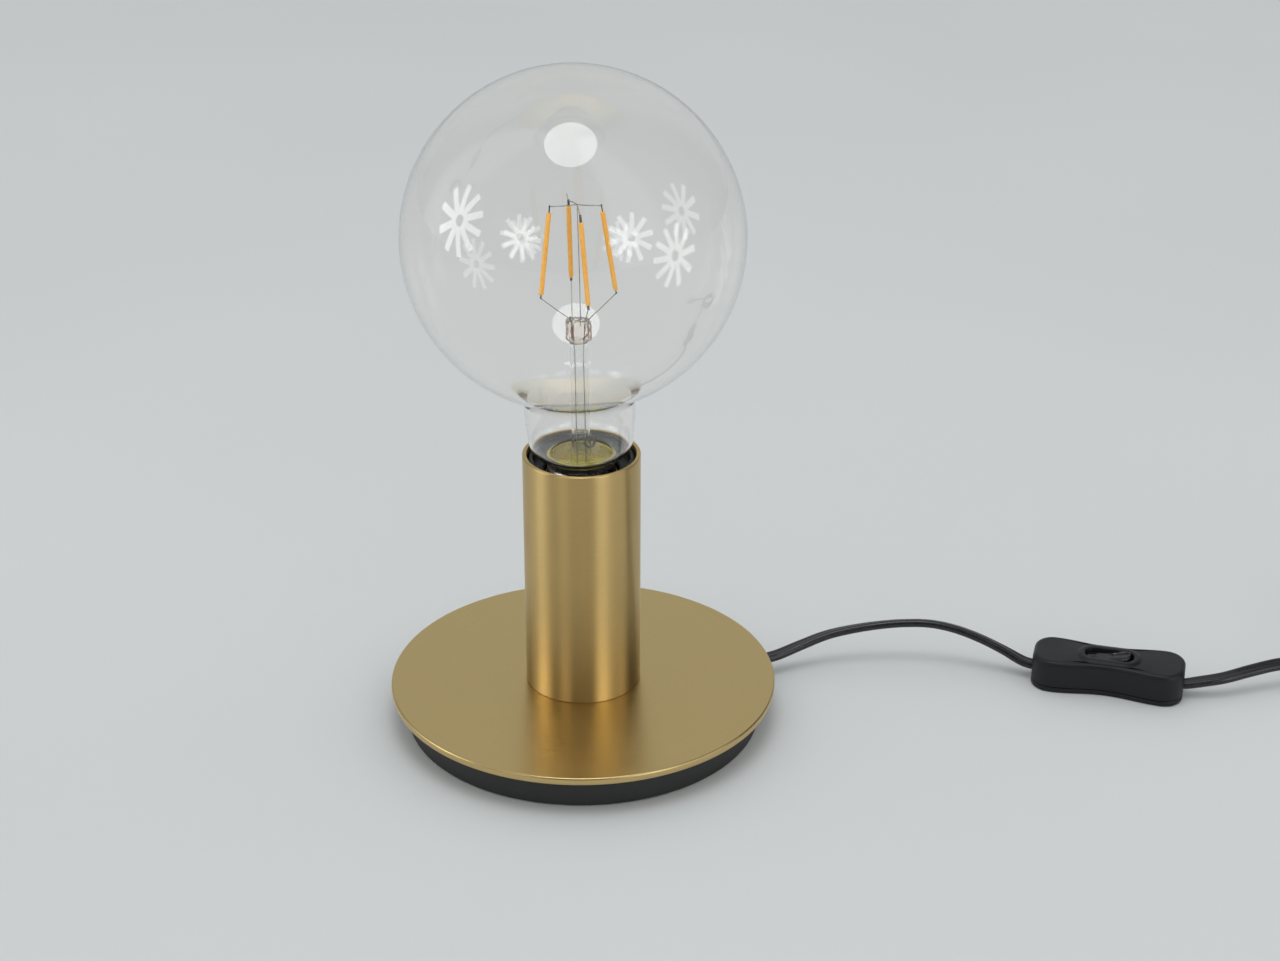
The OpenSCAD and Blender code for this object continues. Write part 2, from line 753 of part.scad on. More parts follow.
module filament(k) {
    a = filament_foot(k);
    b = filament_tip(k);
    d = filament_dir(k);
    color([0.93, 0.6, 0.18])
        at_mount() {
            rod(a, b, filament_d / 2, 24);
            rod(a - tab_l * d, a, tab_r, 16);
            rod(b, b + tab_l * d, tab_r, 16);
        }
}

module filament_1() filament(0);
module filament_2() filament(1);
module filament_3() filament(2);
module filament_4() filament(3);

// Four wires from the pinch to the filaments' lower tabs
module lead_wires() {
    color([0.6, 0.6, 0.6])
        at_mount()
            for (k = [0:3])
                rod([wire_foot[k][0], wire_foot[k][1], pinch_z + pinch_h + wire_gap],
                    filament_foot(k) - (tab_l + wire_r + 0.1) * filament_dir(k), wire_r);
}

// Centre post with its hook, and the cross wires that join the upper tabs
module top_wires() {
    knot = [0.4, 3, filament_tip(0)[2] + tab_l + 0.4];
    bead_r = 3 * wire_r;
    ends = concat(
        [[0.8, 0.6, pinch_z + pinch_h + wire_gap], knot + [-1.6, 0.8, 3.6]],
        [for (k = [0:3]) filament_tip(k) + (tab_l + wire_r + 0.1) * filament_dir(k)]);
    color([0.6, 0.6, 0.6])
        at_mount() {
            translate(knot) sphere(r = bead_r, $fn = 24);
            for (end = ends)
                rod(knot + 0.8 * bead_r * (end - knot) / norm(end - knot), end, wire_r);
        }
}

module driver_cover() {
    color([0.75, 0.72, 0.2])
        at_cap() translate([0, 0, -foot_h - 2.2])
            cylinder(h = 1.6, r = cap_d / 2 - cap_wall - driver_gap);
}

module driver_board() {
    color([0.2, 0.4, 0.25])
        at_cap() translate([0, 0, -foot_h - 8]) {
            cylinder(h = 1.2, r = cap_d / 2 - cap_wall - driver_gap, $fn = 64);
            translate([3, 0, 1.2]) cylinder(h = 4.5, r = 2.5, $fn = 32);
            translate([-7, -3, 1.2]) cube([5, 6, 3]);
            for (s = [-1, 1])
                translate([-2, s * 7.5, 1.2]) cylinder(h = 4.5, r = 0.8, $fn = 16);
        }
}

// Thin cap with its rolled-in lower end
module cap_shell() {
    r = cap_d / 2;
    color([0.8, 0.8, 0.82])
        at_cap() rotate_extrude()
            polygon([
                [r - cap_wall, 0], [r, 0], [r, cap_cone_h - cap_h + 1],
                [insulator_r + 1, insulator_h - cap_h], [insulator_r + 0.5, insulator_h - cap_h],
                [r - cap_wall, cap_cone_h - cap_h + 1.3]]);
}

module cap_insulator() {
    color([0.08, 0.08, 0.1])
        translate([0, 0, tip_z])
            rotate_extrude()
                polygon([
                    [0, tip_h], [tip_r + 0.6, tip_h - 0.4], [insulator_r + 0.4, insulator_h - 0.6],
                    [insulator_r + 0.4, insulator_h], [0, insulator_h]]);
}

module cap_contact() {
    color([0.75, 0.75, 0.77])
        translate([0, 0, tip_z])
            rotate_extrude($fn = 48)
                polygon(concat(
                    [[0, 0]], arc(tip_r - 0.7, 0.7, 0.7, -90, 0, 4),
                    [[tip_r, tip_h - 0.5], [0, tip_h - 0.1]]));
}

// ---------------------------------------------------------------- cord in the foot

module cord_inner() {
    steps = 4;
    r = [for (i = [0:steps]) foot_point(sheath_end_r + (exit_r - sheath_end_r) * i / steps, 0, cord_exit_z)];
    color([0.05, 0.05, 0.05])
        skin(rings(r, flat_section(cord_w, cord_t, 8), exit_dir, exit_dir));
}

module cord_clamp() {
    color([0.65, 0.65, 0.67])
        rotate([0, 0, cord_bearing])
            translate([clamp_r, 0, cord_exit_z - cord_t / 2 - clamp_gap - clamp_t])
                difference() {
                    linear_extrude(clamp_t) rotate(90) rounded(clamp_l, clamp_w, 2);
                    for (s = [-1, 1])
                        translate([0, s * clamp_screw_y, -1]) cylinder(h = clamp_t + 2, r = 1.4, $fn = 24);
                }
}

module clamp_screws() {
    z = cord_exit_z - cord_t / 2 - clamp_gap - clamp_t;
    color([0.6, 0.6, 0.62])
        rotate([0, 0, cord_bearing])
            for (s = [-1, 1])
                translate([clamp_r, s * clamp_screw_y, z]) {
                    translate([0, 0, -1.3]) cylinder(h = 1.3, r = 2.4, $fn = 24);
                    cylinder(h = clamp_screw_l, r = 1.2, $fn = 24);
                }
}

// Tapered bush in the housing's wall, with a flange inside and a flat hole for the cord
module cord_relief() {
    wall_out = relief_in + housing_wall;
    color([0.07, 0.07, 0.07])
        difference() {
            at_exit(housing_in_r - relief_in)
                rotate_extrude($fn = 48)
                    polygon([
                        [0, 0], [relief_r - 0.9, 0],
                        [relief_r - 0.6, relief_in - 2], [relief_r, relief_in - 2],
                        [relief_r, relief_in - flange_gap], [relief_r - 0.5, relief_in - flange_gap],
                        [relief_r - 0.5, wall_out + 0.05], [relief_r, wall_out + 0.05],
                        [relief_r, wall_out + 1.2],
                        [relief_tip_r, wall_out + relief_out], [0, wall_out + relief_out]]);
            at_exit(housing_in_r - relief_in - 1)
                linear_extrude(wall_out + relief_out + 2)
                    stadium(cord_w + 2 * relief_hole_gap, cord_t + 2 * relief_hole_gap);
        }
}

// ---------------------------------------------------------------- free cord

lead_route = concat([exit_point], lead_points,
    [switch_point(-switch_l / 2 - 4, switch_cord_z + 0.9), switch_point(-switch_l / 2 + 1, switch_cord_z),
     switch_point(cord_in - switch_l / 2, switch_cord_z)]);
tail_route = concat(
    [switch_point(switch_l / 2 - cord_in, switch_cord_z), switch_point(switch_l / 2, switch_cord_z)],
    tail_points, [coil_start]);
end_route = concat([coil_end], end_points, [[plug_x, plug_y, plug_z]]);

module cord_lead()
    color([0.05, 0.05, 0.05])
        skin(rings(lead_route, flat_section(cord_w, cord_t, 8), exit_dir, switch_dir));

module cord_tail() {
    last = len(tail_route) - 1;
    r = [for (i = [0:last]) i == last ? concat(tail_route[i], [coil_roll]) : tail_route[i]];
    color([0.05, 0.05, 0.05])
        skin(rings(r, flat_section(cord_w, cord_t, 8), switch_dir, [1, 0, 0]));
}

module cord_plug_end() {
    last = len(end_route) - 1;
    r = [for (i = [0:last]) i == 0 ? concat(end_route[i], [coil_roll]) : end_route[i]];
    color([0.05, 0.05, 0.05])
        skin(rings(r, flat_section(cord_w, cord_t, 8), [1, 0, 0], [0, -1, 0]));
}

// Point of the coil after u turns, anticlockwise from its south side
function coil_point(u) = let (
        half = coil_turns / 2,
        a = 360 * u - 90,
        r = coil_out_r - coil_pitch * (u < half ? u : coil_turns - u),
        z = coil_z + coil_layer * smooth((u - half + 0.25) / 0.5))
    [coil_x + r * cos(a), coil_y + r * sin(a), z, coil_roll];
coil_route = [for (i = [0:coil_turns * coil_rings]) coil_point(i / coil_rings)];
coil_skin = rings(coil_route, flat_section(cord_w, cord_t, 6), [1, 0, 0], [1, 0, 0]);

// Least distance between the corners of rings that lie at least three quarters of a turn apart
coil_least = min([for (i = [0:len(coil_skin) - 1], j = [i + 18:1:len(coil_skin) - 1])
    if (dist(xyz(coil_route[i]), xyz(coil_route[j])) < 2 * cord_w)
        min([for (p = coil_skin[i], q = coil_skin[j]) dist(p, q)])]);
cord_total = route_length(lead_route) + switch_l - 2 * cord_in + route_length(tail_route)
    + route_length(coil_route) + route_length(end_route);
echo(coil_least_gap = coil_least, lead = route_length(lead_route), tail = route_length(tail_route),
    coil = route_length(coil_route), plug_end = route_length(end_route), total = cord_total);

module cord_coil()
    color([0.05, 0.05, 0.05]) skin(coil_skin);

// Band round the coil's turns on the side away from the plug
module coil_tie() {
    mid_r = coil_d / 2;
    w = coil_out_r - coil_in_r + cord_t + 2 * tie_gap;
    h = coil_layer + cord_w + 2 * tie_gap;
    mid_z = coil_z + coil_layer / 2;
    color([0.1, 0.1, 0.1])
        translate([coil_x - tie_w / 2, coil_y + mid_r, mid_z])
            rotate([90, 0, 90])
                linear_extrude(tie_w)
                    difference() {
                        rounded(w + 2 * tie_t, h + 2 * tie_t - 0.15, 1.2);
                        rounded(w, h, 0.8);
                    }
}

// ---------------------------------------------------------------- switch

// Solid form of the switch between two heights: rounded corners, drawn-in sides, rounded top edge
module switch_form(inset, top, low) {
    l = switch_l - 2 * inset;
    w = switch_w - 2 * inset;
    c = switch_corner - inset;
    e = inset > 0 ? switch_edge - 1 : switch_edge;
    half = l / 2 - c;
    cut_r = (pow(half, 2) + pow(switch_waist, 2)) / (2 * switch_waist);
    difference() {
        hull()
            for (x = [-1, 1], y = [-1, 1])
                translate([x * (l / 2 - c), y * (w / 2 - c), 0])
                    rotate_extrude($fn = 32)
                        polygon(concat([[0, low], [c, low]], arc(c - e, top - e, e, 0, 90, 4), [[0, top]]));
        for (s = [-1, 1])
            translate([0, s * (w / 2 - switch_waist + cut_r), 0])
                rotate_extrude($fn = 180)
                    polygon(concat(
                        [[0, low - 1], [cut_r, low - 1]],
                        [for (p = arc(0, 0, e, 0, 90, 4)) [cut_r + e - p[0], top - e + p[1]]],
                        [[cut_r + e, top + 1], [0, top + 1]]));
    }
}

module cord_mouths() {
    for (s = [-1, 1])
        translate([s * switch_l / 2, 0, switch_cord_z]) rotate([0, 90, 0]) rotate([0, 0, 90])
            linear_extrude(16, center = true) stadium(cord_w + 0.8, cord_t + 0.8);
}

module switch_upper_shell() {
    color([0.09, 0.09, 0.1])
        at_switch() {
            difference() {
                union() {
                    difference() {
                        switch_form(0, switch_h, switch_split);
                        switch_form(switch_wall, switch_h - switch_wall, switch_split - 1);
                    }
                    for (s = [-1, 1]) {
                        translate([s * switch_screw_x, s * switch_screw_y, switch_split])
                            cylinder(h = switch_h - switch_split - 1, r = switch_boss_r, $fn = 32);
                        translate([0, s * (rocker_slot_w / 2 + 1.2), pivot_z - pivot_r - 1])
                            linear_extrude(switch_h - pivot_z + pivot_r)
                                square([2 * (pivot_r + 1.4), 1.6], center = true);
                    }
                    translate([0, 0, switch_h - 0.5])
                        linear_extrude(collar_h + 0.5 - collar_edge)
                            stadium(rocker_slot_l + 2 * collar_margin, rocker_slot_w + 1.4 * collar_margin);
                    translate([0, 0, switch_h - 0.5])
                        linear_extrude(collar_h + 0.5)
                            stadium(rocker_slot_l + 2 * collar_margin - 2 * collar_edge,
                                rocker_slot_w + 1.4 * collar_margin - 2 * collar_edge);
                }
                translate([0, 0, switch_h - switch_wall - 1])
                    linear_extrude(switch_wall + collar_h + 2) rounded(rocker_slot_l, rocker_slot_w, 3);
                translate([0, 0, pivot_z]) rotate([90, 0, 0])
                    cylinder(h = rocker_slot_w + 5, r = pivot_r + pivot_gap, center = true, $fn = 32);
                for (s = [-1, 1])
                    translate([s * switch_screw_x, s * switch_screw_y, switch_split - 1])
                        cylinder(h = switch_screw_l, r = switch_screw_r + screw_gap, $fn = 24);
                cord_mouths();
            }
        }
}

module switch_lower_shell() {
    color([0.08, 0.08, 0.09])
        at_switch() {
            difference() {
                intersection() {
                    switch_form(0, switch_h, 0);
                    translate([-switch_l, -switch_w, 0]) cube([2 * switch_l, 2 * switch_w, switch_split]);
                }
                for (s = [-1, 1])
                    translate([s * switch_screw_x, s * switch_screw_y, 0]) {
                        translate([0, 0, -1])
                            cylinder(h = switch_split + 2, r = switch_screw_r + screw_gap, $fn = 24);
                        translate([0, 0, -0.01]) cylinder(h = 1.2, r = 2.2, $fn = 24);
                    }
            }
        }
}

module switch_screws() {
    color([0.6, 0.6, 0.62])
        at_switch()
            for (s = [-1, 1])
                translate([s * switch_screw_x, s * switch_screw_y, 0.2]) {
                    cylinder(h = 0.9, r = 2, $fn = 24);
                    cylinder(h = switch_screw_l, r = switch_screw_r, $fn = 24);
                }
}

module at_rocker() at_switch() translate([0, 0, pivot_z]) rotate([0, rocker_rest, 0]) children();

// Rocker with a vee-shaped top, round ends about its pivot, and a bore for the plunger
module rocker() {
    rise = rocker_r * tan(rocker_vee);
    mid = rocker_mid - pivot_z;
    low = switch_h - switch_wall - pivot_z - 1.4;
    color([0.03, 0.03, 0.03])
        at_rocker()
            difference() {
                union() {
                    intersection() {
                        translate([0, 0, low - 1])
                            linear_extrude(12) stadium(rocker_slot_l - 2 * rocker_gap, rocker_w);
                        translate([0, rocker_w, 0]) rotate([90, 0, 0])
                            linear_extrude(2 * rocker_w)
                                intersection() {
                                    polygon([
                                        [-rocker_r, low], [rocker_r, low], [rocker_r, mid + rise],
                                        [0, mid], [-rocker_r, mid + rise]]);
                                    circle(r = rocker_r, $fn = 96);
                                }
                    }
                    rotate([90, 0, 0]) cylinder(h = rocker_w - 1, r = 2.2, center = true, $fn = 32);
                    cylinder(h = low + 0.5, r = 2.2, $fn = 32);
                }
                rotate([90, 0, 0]) cylinder(h = 20, r = pivot_r + pivot_gap, center = true, $fn = 32);
                translate([0, 0, -4]) cylinder(h = 4.1 - pivot_r, r = plunger_r + 0.1, $fn = 24);
            }
}

// Axle of the rocker, held in the upper shell's two cheeks
module rocker_pin() {
    color([0.7, 0.7, 0.72])
        at_switch() translate([0, 0, pivot_z]) rotate([90, 0, 0])
            cylinder(h = rocker_slot_w + 3.6, r = pivot_r, center = true, $fn = 32);
}

// Sprung pin in the rocker that slides along the see-saw
module rocker_plunger() {
    color([0.8, 0.66, 0.4])
        at_rocker() {
            translate([0, 0, -plunger_l + 0.6])
                cylinder(h = plunger_l - pivot_r - 0.75, r = plunger_r, $fn = 24);
            translate([0, 0, -plunger_l + 0.6]) intersection() {
                sphere(r = plunger_r, $fn = 24);
                translate([0, 0, -plunger_r]) cylinder(h = plunger_r, r = plunger_r, $fn = 24);
            }
        }
}

module at_seesaw() at_switch() translate([0, 0, seesaw_axis_z]) rotate([0, seesaw_rest, 0]) children();

// Copper see-saw that the plunger tips from one side to the other
module seesaw_contact() {
    color([0.8, 0.5, 0.3])
        at_seesaw()
            difference() {
                union() {
                    translate([-seesaw_l / 2, -seesaw_w / 2, 0]) cube([seesaw_l, seesaw_w, seesaw_t]);
                    for (s = [-1, 1])
                        translate([0, s * (seesaw_w / 2 - 0.3), 0]) rotate([90, 0, 0])
                            cylinder(h = 0.6, r = 1.2, center = true, $fn = 24);
                }
                rotate([90, 0, 0]) cylinder(h = 20, r = seesaw_pin_r + 0.06, center = true, $fn = 24);
            }
}

// Centre post with the see-saw's pin, on a foot plate
module seesaw_post() {
    color([0.8, 0.66, 0.35])
        at_switch() {
            translate([0, 0, seesaw_axis_z]) rotate([90, 0, 0])
                cylinder(h = seesaw_w + 1.6, r = seesaw_pin_r, center = true, $fn = 24);
            for (s = [-1, 1])
                translate([-1, s * (seesaw_w / 2 + 0.9) - 0.4, switch_split])
                    cube([2, 0.8, seesaw_axis_z - switch_split + 0.4]);
            translate([-1.5, -seesaw_w / 2 - 1.3, switch_split]) cube([3, seesaw_w + 2.6, strip_t]);
        }
}

// Terminal blocks with their strips: one joins the post, the other ends in a contact under the see-saw
module switch_terminals() {
    color([0.8, 0.66, 0.35])
        at_switch() {
            for (s = [-1, 1])
                translate([s * terminal_block_x - terminal_block[0] / 2, -4.5, switch_split])
                    cube(terminal_block);
            translate([-terminal_block_x, -1.5, switch_split]) cube([terminal_block_x - 1.5, 2, strip_t]);
            translate([seesaw_l / 2 - 1.5, -1.5, switch_split])
                cube([terminal_block_x - seesaw_l / 2 + 1.5, 2, strip_t]);
            translate([seesaw_l / 2 - 0.8, -0.5, switch_split])
                cylinder(h = strip_t + 0.35, r = 0.7, $fn = 24);
        }
}

// Ribs that grip the cord's sheath inside each mouth
module switch_grips() {
    color([0.12, 0.12, 0.12])
        at_switch()
            for (s = [-1, 1])
                translate([s * grip_x - 1.5, -4, switch_split])
                    cube([3, 8, switch_cord_z - cord_t / 2 - switch_split - 0.1]);
}

// Cores in the switch: one runs past the contacts, the other is cut at the two terminals
module switch_core(r) skin(rings(r, round_section(core_d, 8), [1, 0, 0], [1, 0, 0]));

module neutral_core() {
    x = switch_l / 2 - cord_in;
    z = switch_split + core_d / 2 + 0.1;
    color([0.1, 0.25, 0.6])
        at_switch()
            switch_core([
                [-x, 1.3, switch_cord_z], [-18, 3, z + 0.6], [-13, 4.4, z], [0, 5.2, z], [13, 4.4, z],
                [18, 3, z + 0.6], [x, 1.3, switch_cord_z]]);
}

module line_cores() {
    x = switch_l / 2 - cord_in;
    end = terminal_block_x + terminal_block[0] / 2 + 0.05;
    z = switch_split + terminal_block[2] / 2;
    color([0.36, 0.2, 0.1])
        at_switch() {
            switch_core([[-x, -1.3, switch_cord_z], [-18, -2, z + 0.4], [-end, -2.5, z]]);
            switch_core([[end, -2.5, z], [18, -2, z + 0.4], [x, -1.3, switch_cord_z]]);
        }
}

// ---------------------------------------------------------------- plug

module at_plug() translate([plug_x, plug_y, plug_z]) rotate([0, 0, -90]) children();

module plug_relief() {
    color([0.05, 0.05, 0.05])
        at_plug() rotate([0, 90, 0])
            difference() {
                cylinder(h = relief_l, r1 = relief_tail_r, r2 = relief_head_r, $fn = 48);
                for (i = [0:3], s = [-1, 1])
                    translate([s * (relief_head_r + 0.2), 0, 4 + 4.2 * i])
                        cube([5, 12, 1.4], center = true);
            }
}

// Flat moulded body: tapered outline and tapered side view
module plug_body() {
    color([0.05, 0.05, 0.05])
        at_plug() translate([relief_l, 0, 0])
            difference() {
                intersection() {
                    linear_extrude(plug_t, center = true)
                        polygon(concat(
                            [[0, -5.5], [plug_l - plug_nose, -plug_w / 2 + 0.5]],
                            arc(plug_l - 2, 2 - plug_w / 2, 2, -90, 0, 5),
                            arc(plug_l - 2, plug_w / 2 - 2, 2, 0, 90, 5),
                            [[plug_l - plug_nose, plug_w / 2 - 0.5], [0, 5.5]]));
                    rotate([90, 0, 0]) linear_extrude(2 * plug_w, center = true)
                        polygon(concat(
                            [[0, -5]],
                            arc(plug_l - 1.5, 1.5 - plug_t / 2, 1.5, -90, 0, 4),
                            arc(plug_l - 1.5, plug_t / 2 - 1.5, 1.5, 0, 90, 4),
                            [[plug_l - plug_nose, plug_t / 2], [0, 5]]));
                }
                for (s = [-1, 1])
                    translate([plug_l - pin_root, s * pin_pitch / 2, 0]) rotate([0, 90, 0])
                        cylinder(h = pin_root + 2, d = pin_d + 2 * sleeve_gap, $fn = 32);
            }
}

module plug_pins() {
    color([0.8, 0.75, 0.6])
        at_plug() translate([relief_l, 0, 0])
            for (s = [-1, 1])
                translate([plug_l - pin_root, s * pin_pitch / 2, 0]) rotate([0, 90, 0]) {
                    cylinder(h = pin_root + sleeve_l, d = pin_d - 2 * sleeve_wall, $fn = 32);
                    translate([0, 0, pin_root + sleeve_l])
                        cylinder(h = pin_l - sleeve_l - 1, d = pin_d, $fn = 32);
                    translate([0, 0, pin_root + pin_l - 1])
                        cylinder(h = 1, r1 = pin_d / 2, r2 = pin_d / 2 - 1, $fn = 32);
                }
}

module pin_sleeves() {
    color([0.04, 0.04, 0.04])
        at_plug() translate([relief_l, 0, 0])
            for (s = [-1, 1])
                translate([plug_l - pin_root, s * pin_pitch / 2, 0]) rotate([0, 90, 0])
                    difference() {
                        cylinder(h = pin_root + sleeve_l - sleeve_gap, d = pin_d, $fn = 32);
                        translate([0, 0, -1])
                            cylinder(h = pin_root + sleeve_l + 2, d = pin_d - 2 * sleeve_wall + sleeve_gap,
                                $fn = 32);
                    }
}

foot_pad();
bottom_cover();
cover_screws();
foot_housing();
ballast_weight();
top_plate();
clamping_rod();
rod_washers();
rod_nuts();
tube_bridge();
column_tube();
holder_lower_shell();
holder_upper_shell();
contact_block();
screw_shell();
centre_contact();
side_contact();
holder_terminals();
terminal_screws();
brown_core();
blue_core();
glass_envelope();
glass_stem();
lead_wires();
top_wires();
filament_1();
filament_2();
filament_3();
filament_4();
driver_cover();
driver_board();
cap_shell();
cap_insulator();
cap_contact();
cord_inner();
cord_clamp();
clamp_screws();
cord_relief();
cord_lead();
switch_lower_shell();
switch_upper_shell();
switch_screws();
rocker();
rocker_pin();
rocker_plunger();
seesaw_contact();
seesaw_post();
switch_terminals();
switch_grips();
neutral_core();
line_cores();
cord_tail();
cord_coil();
coil_tie();
cord_plug_end();
plug_relief();
plug_body();
plug_pins();
pin_sleeves();
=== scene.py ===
"""Looks of a bare bulb table lamp: satin brass disc and tube, clear globe bulb, black flat cord."""

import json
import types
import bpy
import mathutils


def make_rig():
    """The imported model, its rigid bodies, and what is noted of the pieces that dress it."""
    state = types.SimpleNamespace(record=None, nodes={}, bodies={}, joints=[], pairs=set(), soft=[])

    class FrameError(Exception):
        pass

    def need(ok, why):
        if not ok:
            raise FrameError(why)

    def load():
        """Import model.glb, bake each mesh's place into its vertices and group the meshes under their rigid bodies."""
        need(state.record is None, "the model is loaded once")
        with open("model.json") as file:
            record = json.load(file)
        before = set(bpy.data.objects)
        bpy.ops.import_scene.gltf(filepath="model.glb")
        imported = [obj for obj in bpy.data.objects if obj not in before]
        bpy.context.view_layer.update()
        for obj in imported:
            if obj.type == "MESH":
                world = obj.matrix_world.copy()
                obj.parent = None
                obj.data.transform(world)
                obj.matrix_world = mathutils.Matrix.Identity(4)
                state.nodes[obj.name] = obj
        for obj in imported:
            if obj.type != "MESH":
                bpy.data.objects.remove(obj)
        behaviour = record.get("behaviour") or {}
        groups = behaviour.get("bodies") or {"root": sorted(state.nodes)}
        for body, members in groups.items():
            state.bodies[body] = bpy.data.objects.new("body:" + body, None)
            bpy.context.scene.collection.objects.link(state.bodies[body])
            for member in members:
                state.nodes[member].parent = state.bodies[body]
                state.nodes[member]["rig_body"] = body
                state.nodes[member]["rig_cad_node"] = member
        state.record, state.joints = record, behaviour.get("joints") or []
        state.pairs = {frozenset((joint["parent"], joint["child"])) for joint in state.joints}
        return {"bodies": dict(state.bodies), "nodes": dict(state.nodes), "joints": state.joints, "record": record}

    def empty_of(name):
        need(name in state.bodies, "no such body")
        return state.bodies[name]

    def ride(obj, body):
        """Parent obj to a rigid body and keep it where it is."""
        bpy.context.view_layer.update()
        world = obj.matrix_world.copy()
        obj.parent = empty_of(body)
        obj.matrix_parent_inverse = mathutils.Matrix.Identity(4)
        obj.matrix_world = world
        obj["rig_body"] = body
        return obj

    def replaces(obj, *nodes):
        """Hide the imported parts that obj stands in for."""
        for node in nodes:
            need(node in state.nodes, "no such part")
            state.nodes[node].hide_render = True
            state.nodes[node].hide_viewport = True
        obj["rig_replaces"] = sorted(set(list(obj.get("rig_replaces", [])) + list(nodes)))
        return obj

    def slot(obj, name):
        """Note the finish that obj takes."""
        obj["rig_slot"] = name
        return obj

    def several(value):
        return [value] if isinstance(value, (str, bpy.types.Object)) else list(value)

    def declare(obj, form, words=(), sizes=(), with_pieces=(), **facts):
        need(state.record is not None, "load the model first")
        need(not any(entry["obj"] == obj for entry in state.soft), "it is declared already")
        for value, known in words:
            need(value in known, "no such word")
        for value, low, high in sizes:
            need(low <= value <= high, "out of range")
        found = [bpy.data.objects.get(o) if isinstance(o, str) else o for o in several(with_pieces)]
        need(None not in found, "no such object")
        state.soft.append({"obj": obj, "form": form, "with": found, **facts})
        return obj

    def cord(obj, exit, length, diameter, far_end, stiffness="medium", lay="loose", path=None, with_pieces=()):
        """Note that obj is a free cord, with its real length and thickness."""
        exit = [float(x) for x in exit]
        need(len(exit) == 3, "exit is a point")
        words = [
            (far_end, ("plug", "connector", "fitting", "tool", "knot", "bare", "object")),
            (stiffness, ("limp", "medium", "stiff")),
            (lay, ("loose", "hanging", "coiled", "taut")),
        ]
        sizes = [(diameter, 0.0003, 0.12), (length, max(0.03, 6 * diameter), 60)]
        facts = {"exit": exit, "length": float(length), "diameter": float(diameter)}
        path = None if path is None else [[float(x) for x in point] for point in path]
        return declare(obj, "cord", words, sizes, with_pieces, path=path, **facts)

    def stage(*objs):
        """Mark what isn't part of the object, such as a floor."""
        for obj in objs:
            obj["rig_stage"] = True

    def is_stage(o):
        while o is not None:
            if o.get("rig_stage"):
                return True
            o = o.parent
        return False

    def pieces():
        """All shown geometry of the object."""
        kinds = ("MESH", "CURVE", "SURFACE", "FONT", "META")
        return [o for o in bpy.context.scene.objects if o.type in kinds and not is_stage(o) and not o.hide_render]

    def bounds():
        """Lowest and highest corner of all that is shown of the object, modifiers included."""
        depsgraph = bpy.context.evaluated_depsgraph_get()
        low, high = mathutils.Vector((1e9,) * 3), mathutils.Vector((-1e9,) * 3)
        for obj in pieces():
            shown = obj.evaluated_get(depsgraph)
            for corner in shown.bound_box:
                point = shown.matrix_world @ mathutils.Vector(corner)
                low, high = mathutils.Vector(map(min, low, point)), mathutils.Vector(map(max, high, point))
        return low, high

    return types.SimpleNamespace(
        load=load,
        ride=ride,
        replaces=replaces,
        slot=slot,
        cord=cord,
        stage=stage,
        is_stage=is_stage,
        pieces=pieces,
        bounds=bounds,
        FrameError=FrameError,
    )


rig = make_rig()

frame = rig.load()

import json
import logging
import math
from dataclasses import dataclass, field
from enum import Enum
from typing import ClassVar, Optional, Sequence

import bmesh
import bpy
from mathutils import Matrix, Vector, noise

CAD_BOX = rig.bounds()
MM = 0.001
log = logging.getLogger("lamp")

Flat = tuple[float, float]
Colour = tuple[float, float, float]
Item = bpy.types.Object
Material = bpy.types.Material
Mesh = bmesh.types.BMesh
Socket = bpy.types.NodeSocket


# ---------------------------------------------------------------- mesh helpers

def arc(cx: float, cz: float, r: float, a0: float, a1: float, n: int) -> list[Flat]:
    """Points along a circle's arc.

    Args:
        cx: centre, across.
        cz: centre, up.
        r: radius.
        a0: first angle in degrees.
        a1: last angle in degrees.
        n: number of steps.

    Returns:
        n + 1 points.
    """
    steps = [math.radians(a0 + (a1 - a0) * i / n) for i in range(n + 1)]
    return [(cx + r * math.cos(a), cz + r * math.sin(a)) for a in steps]


def circle(r: float, n: int) -> list[Flat]:
    """A circle of n points about the origin."""
    return arc(0, 0, r, 0, 360 * (n - 1) / n, n - 1)


def oblong(length: float, width: float, r: float, waist: float = 0.0) -> list[Flat]:
    """A rounded rectangle, its long sides drawn in at the middle.

    Args:
        length: size along X.
        width: size along Y.
        r: corner radius, less than half the width.
        waist: how far each long side is drawn in.

    Returns:
        The same number of points for any sizes, anticlockwise from the right side.
    """
    corner, long_side, short_side = 10, 24, 6
    hx, hy = length / 2 - r, width / 2 - r

    def side(x: float) -> float:
        """Half the width at a place along the long side."""
        return width / 2 - waist * (0.5 + 0.5 * math.cos(math.pi * x / max(hx, 1e-6)))

    points: list[Flat] = []
    for sign in (1, -1):
        points += [(sign * length / 2, sign * hy * (2 * i / short_side - 1)) for i in range(short_side)]
        points += [(sign * (hx + r * math.cos(a)), sign * (hy + r * math.sin(a)))
                   for a in (math.pi / 2 * i / corner for i in range(corner))]
        points += [(sign * x, sign * side(x)) for x in (hx * (1 - 2 * i / long_side) for i in range(long_side))]
        points += [(sign * (-hx + r * math.cos(a)), sign * (hy + r * math.sin(a)))
                   for a in (math.pi / 2 * (1 + i / corner) for i in range(corner))]
    return points


def lift(ring: Sequence[Flat], z: float) -> list[Vector]:
    """A flat outline as points at one height."""
    return [Vector((x, y, z)) for x, y in ring]


def upright(ring: Sequence[Flat], x: float) -> list[Vector]:
    """A flat outline as points that stand at one distance along X."""
    return [Vector((x, u, v)) for u, v in ring]


def placed(x: float = 0.0, y: float = 0.0, z: float = 0.0, turn: float = 0.0, axis: str = "Z") -> Matrix:
    """A place: a turn in degrees about an axis, then a move."""
    return Matrix.Translation((x, y, z)) @ Matrix.Rotation(math.radians(turn), 4, axis)


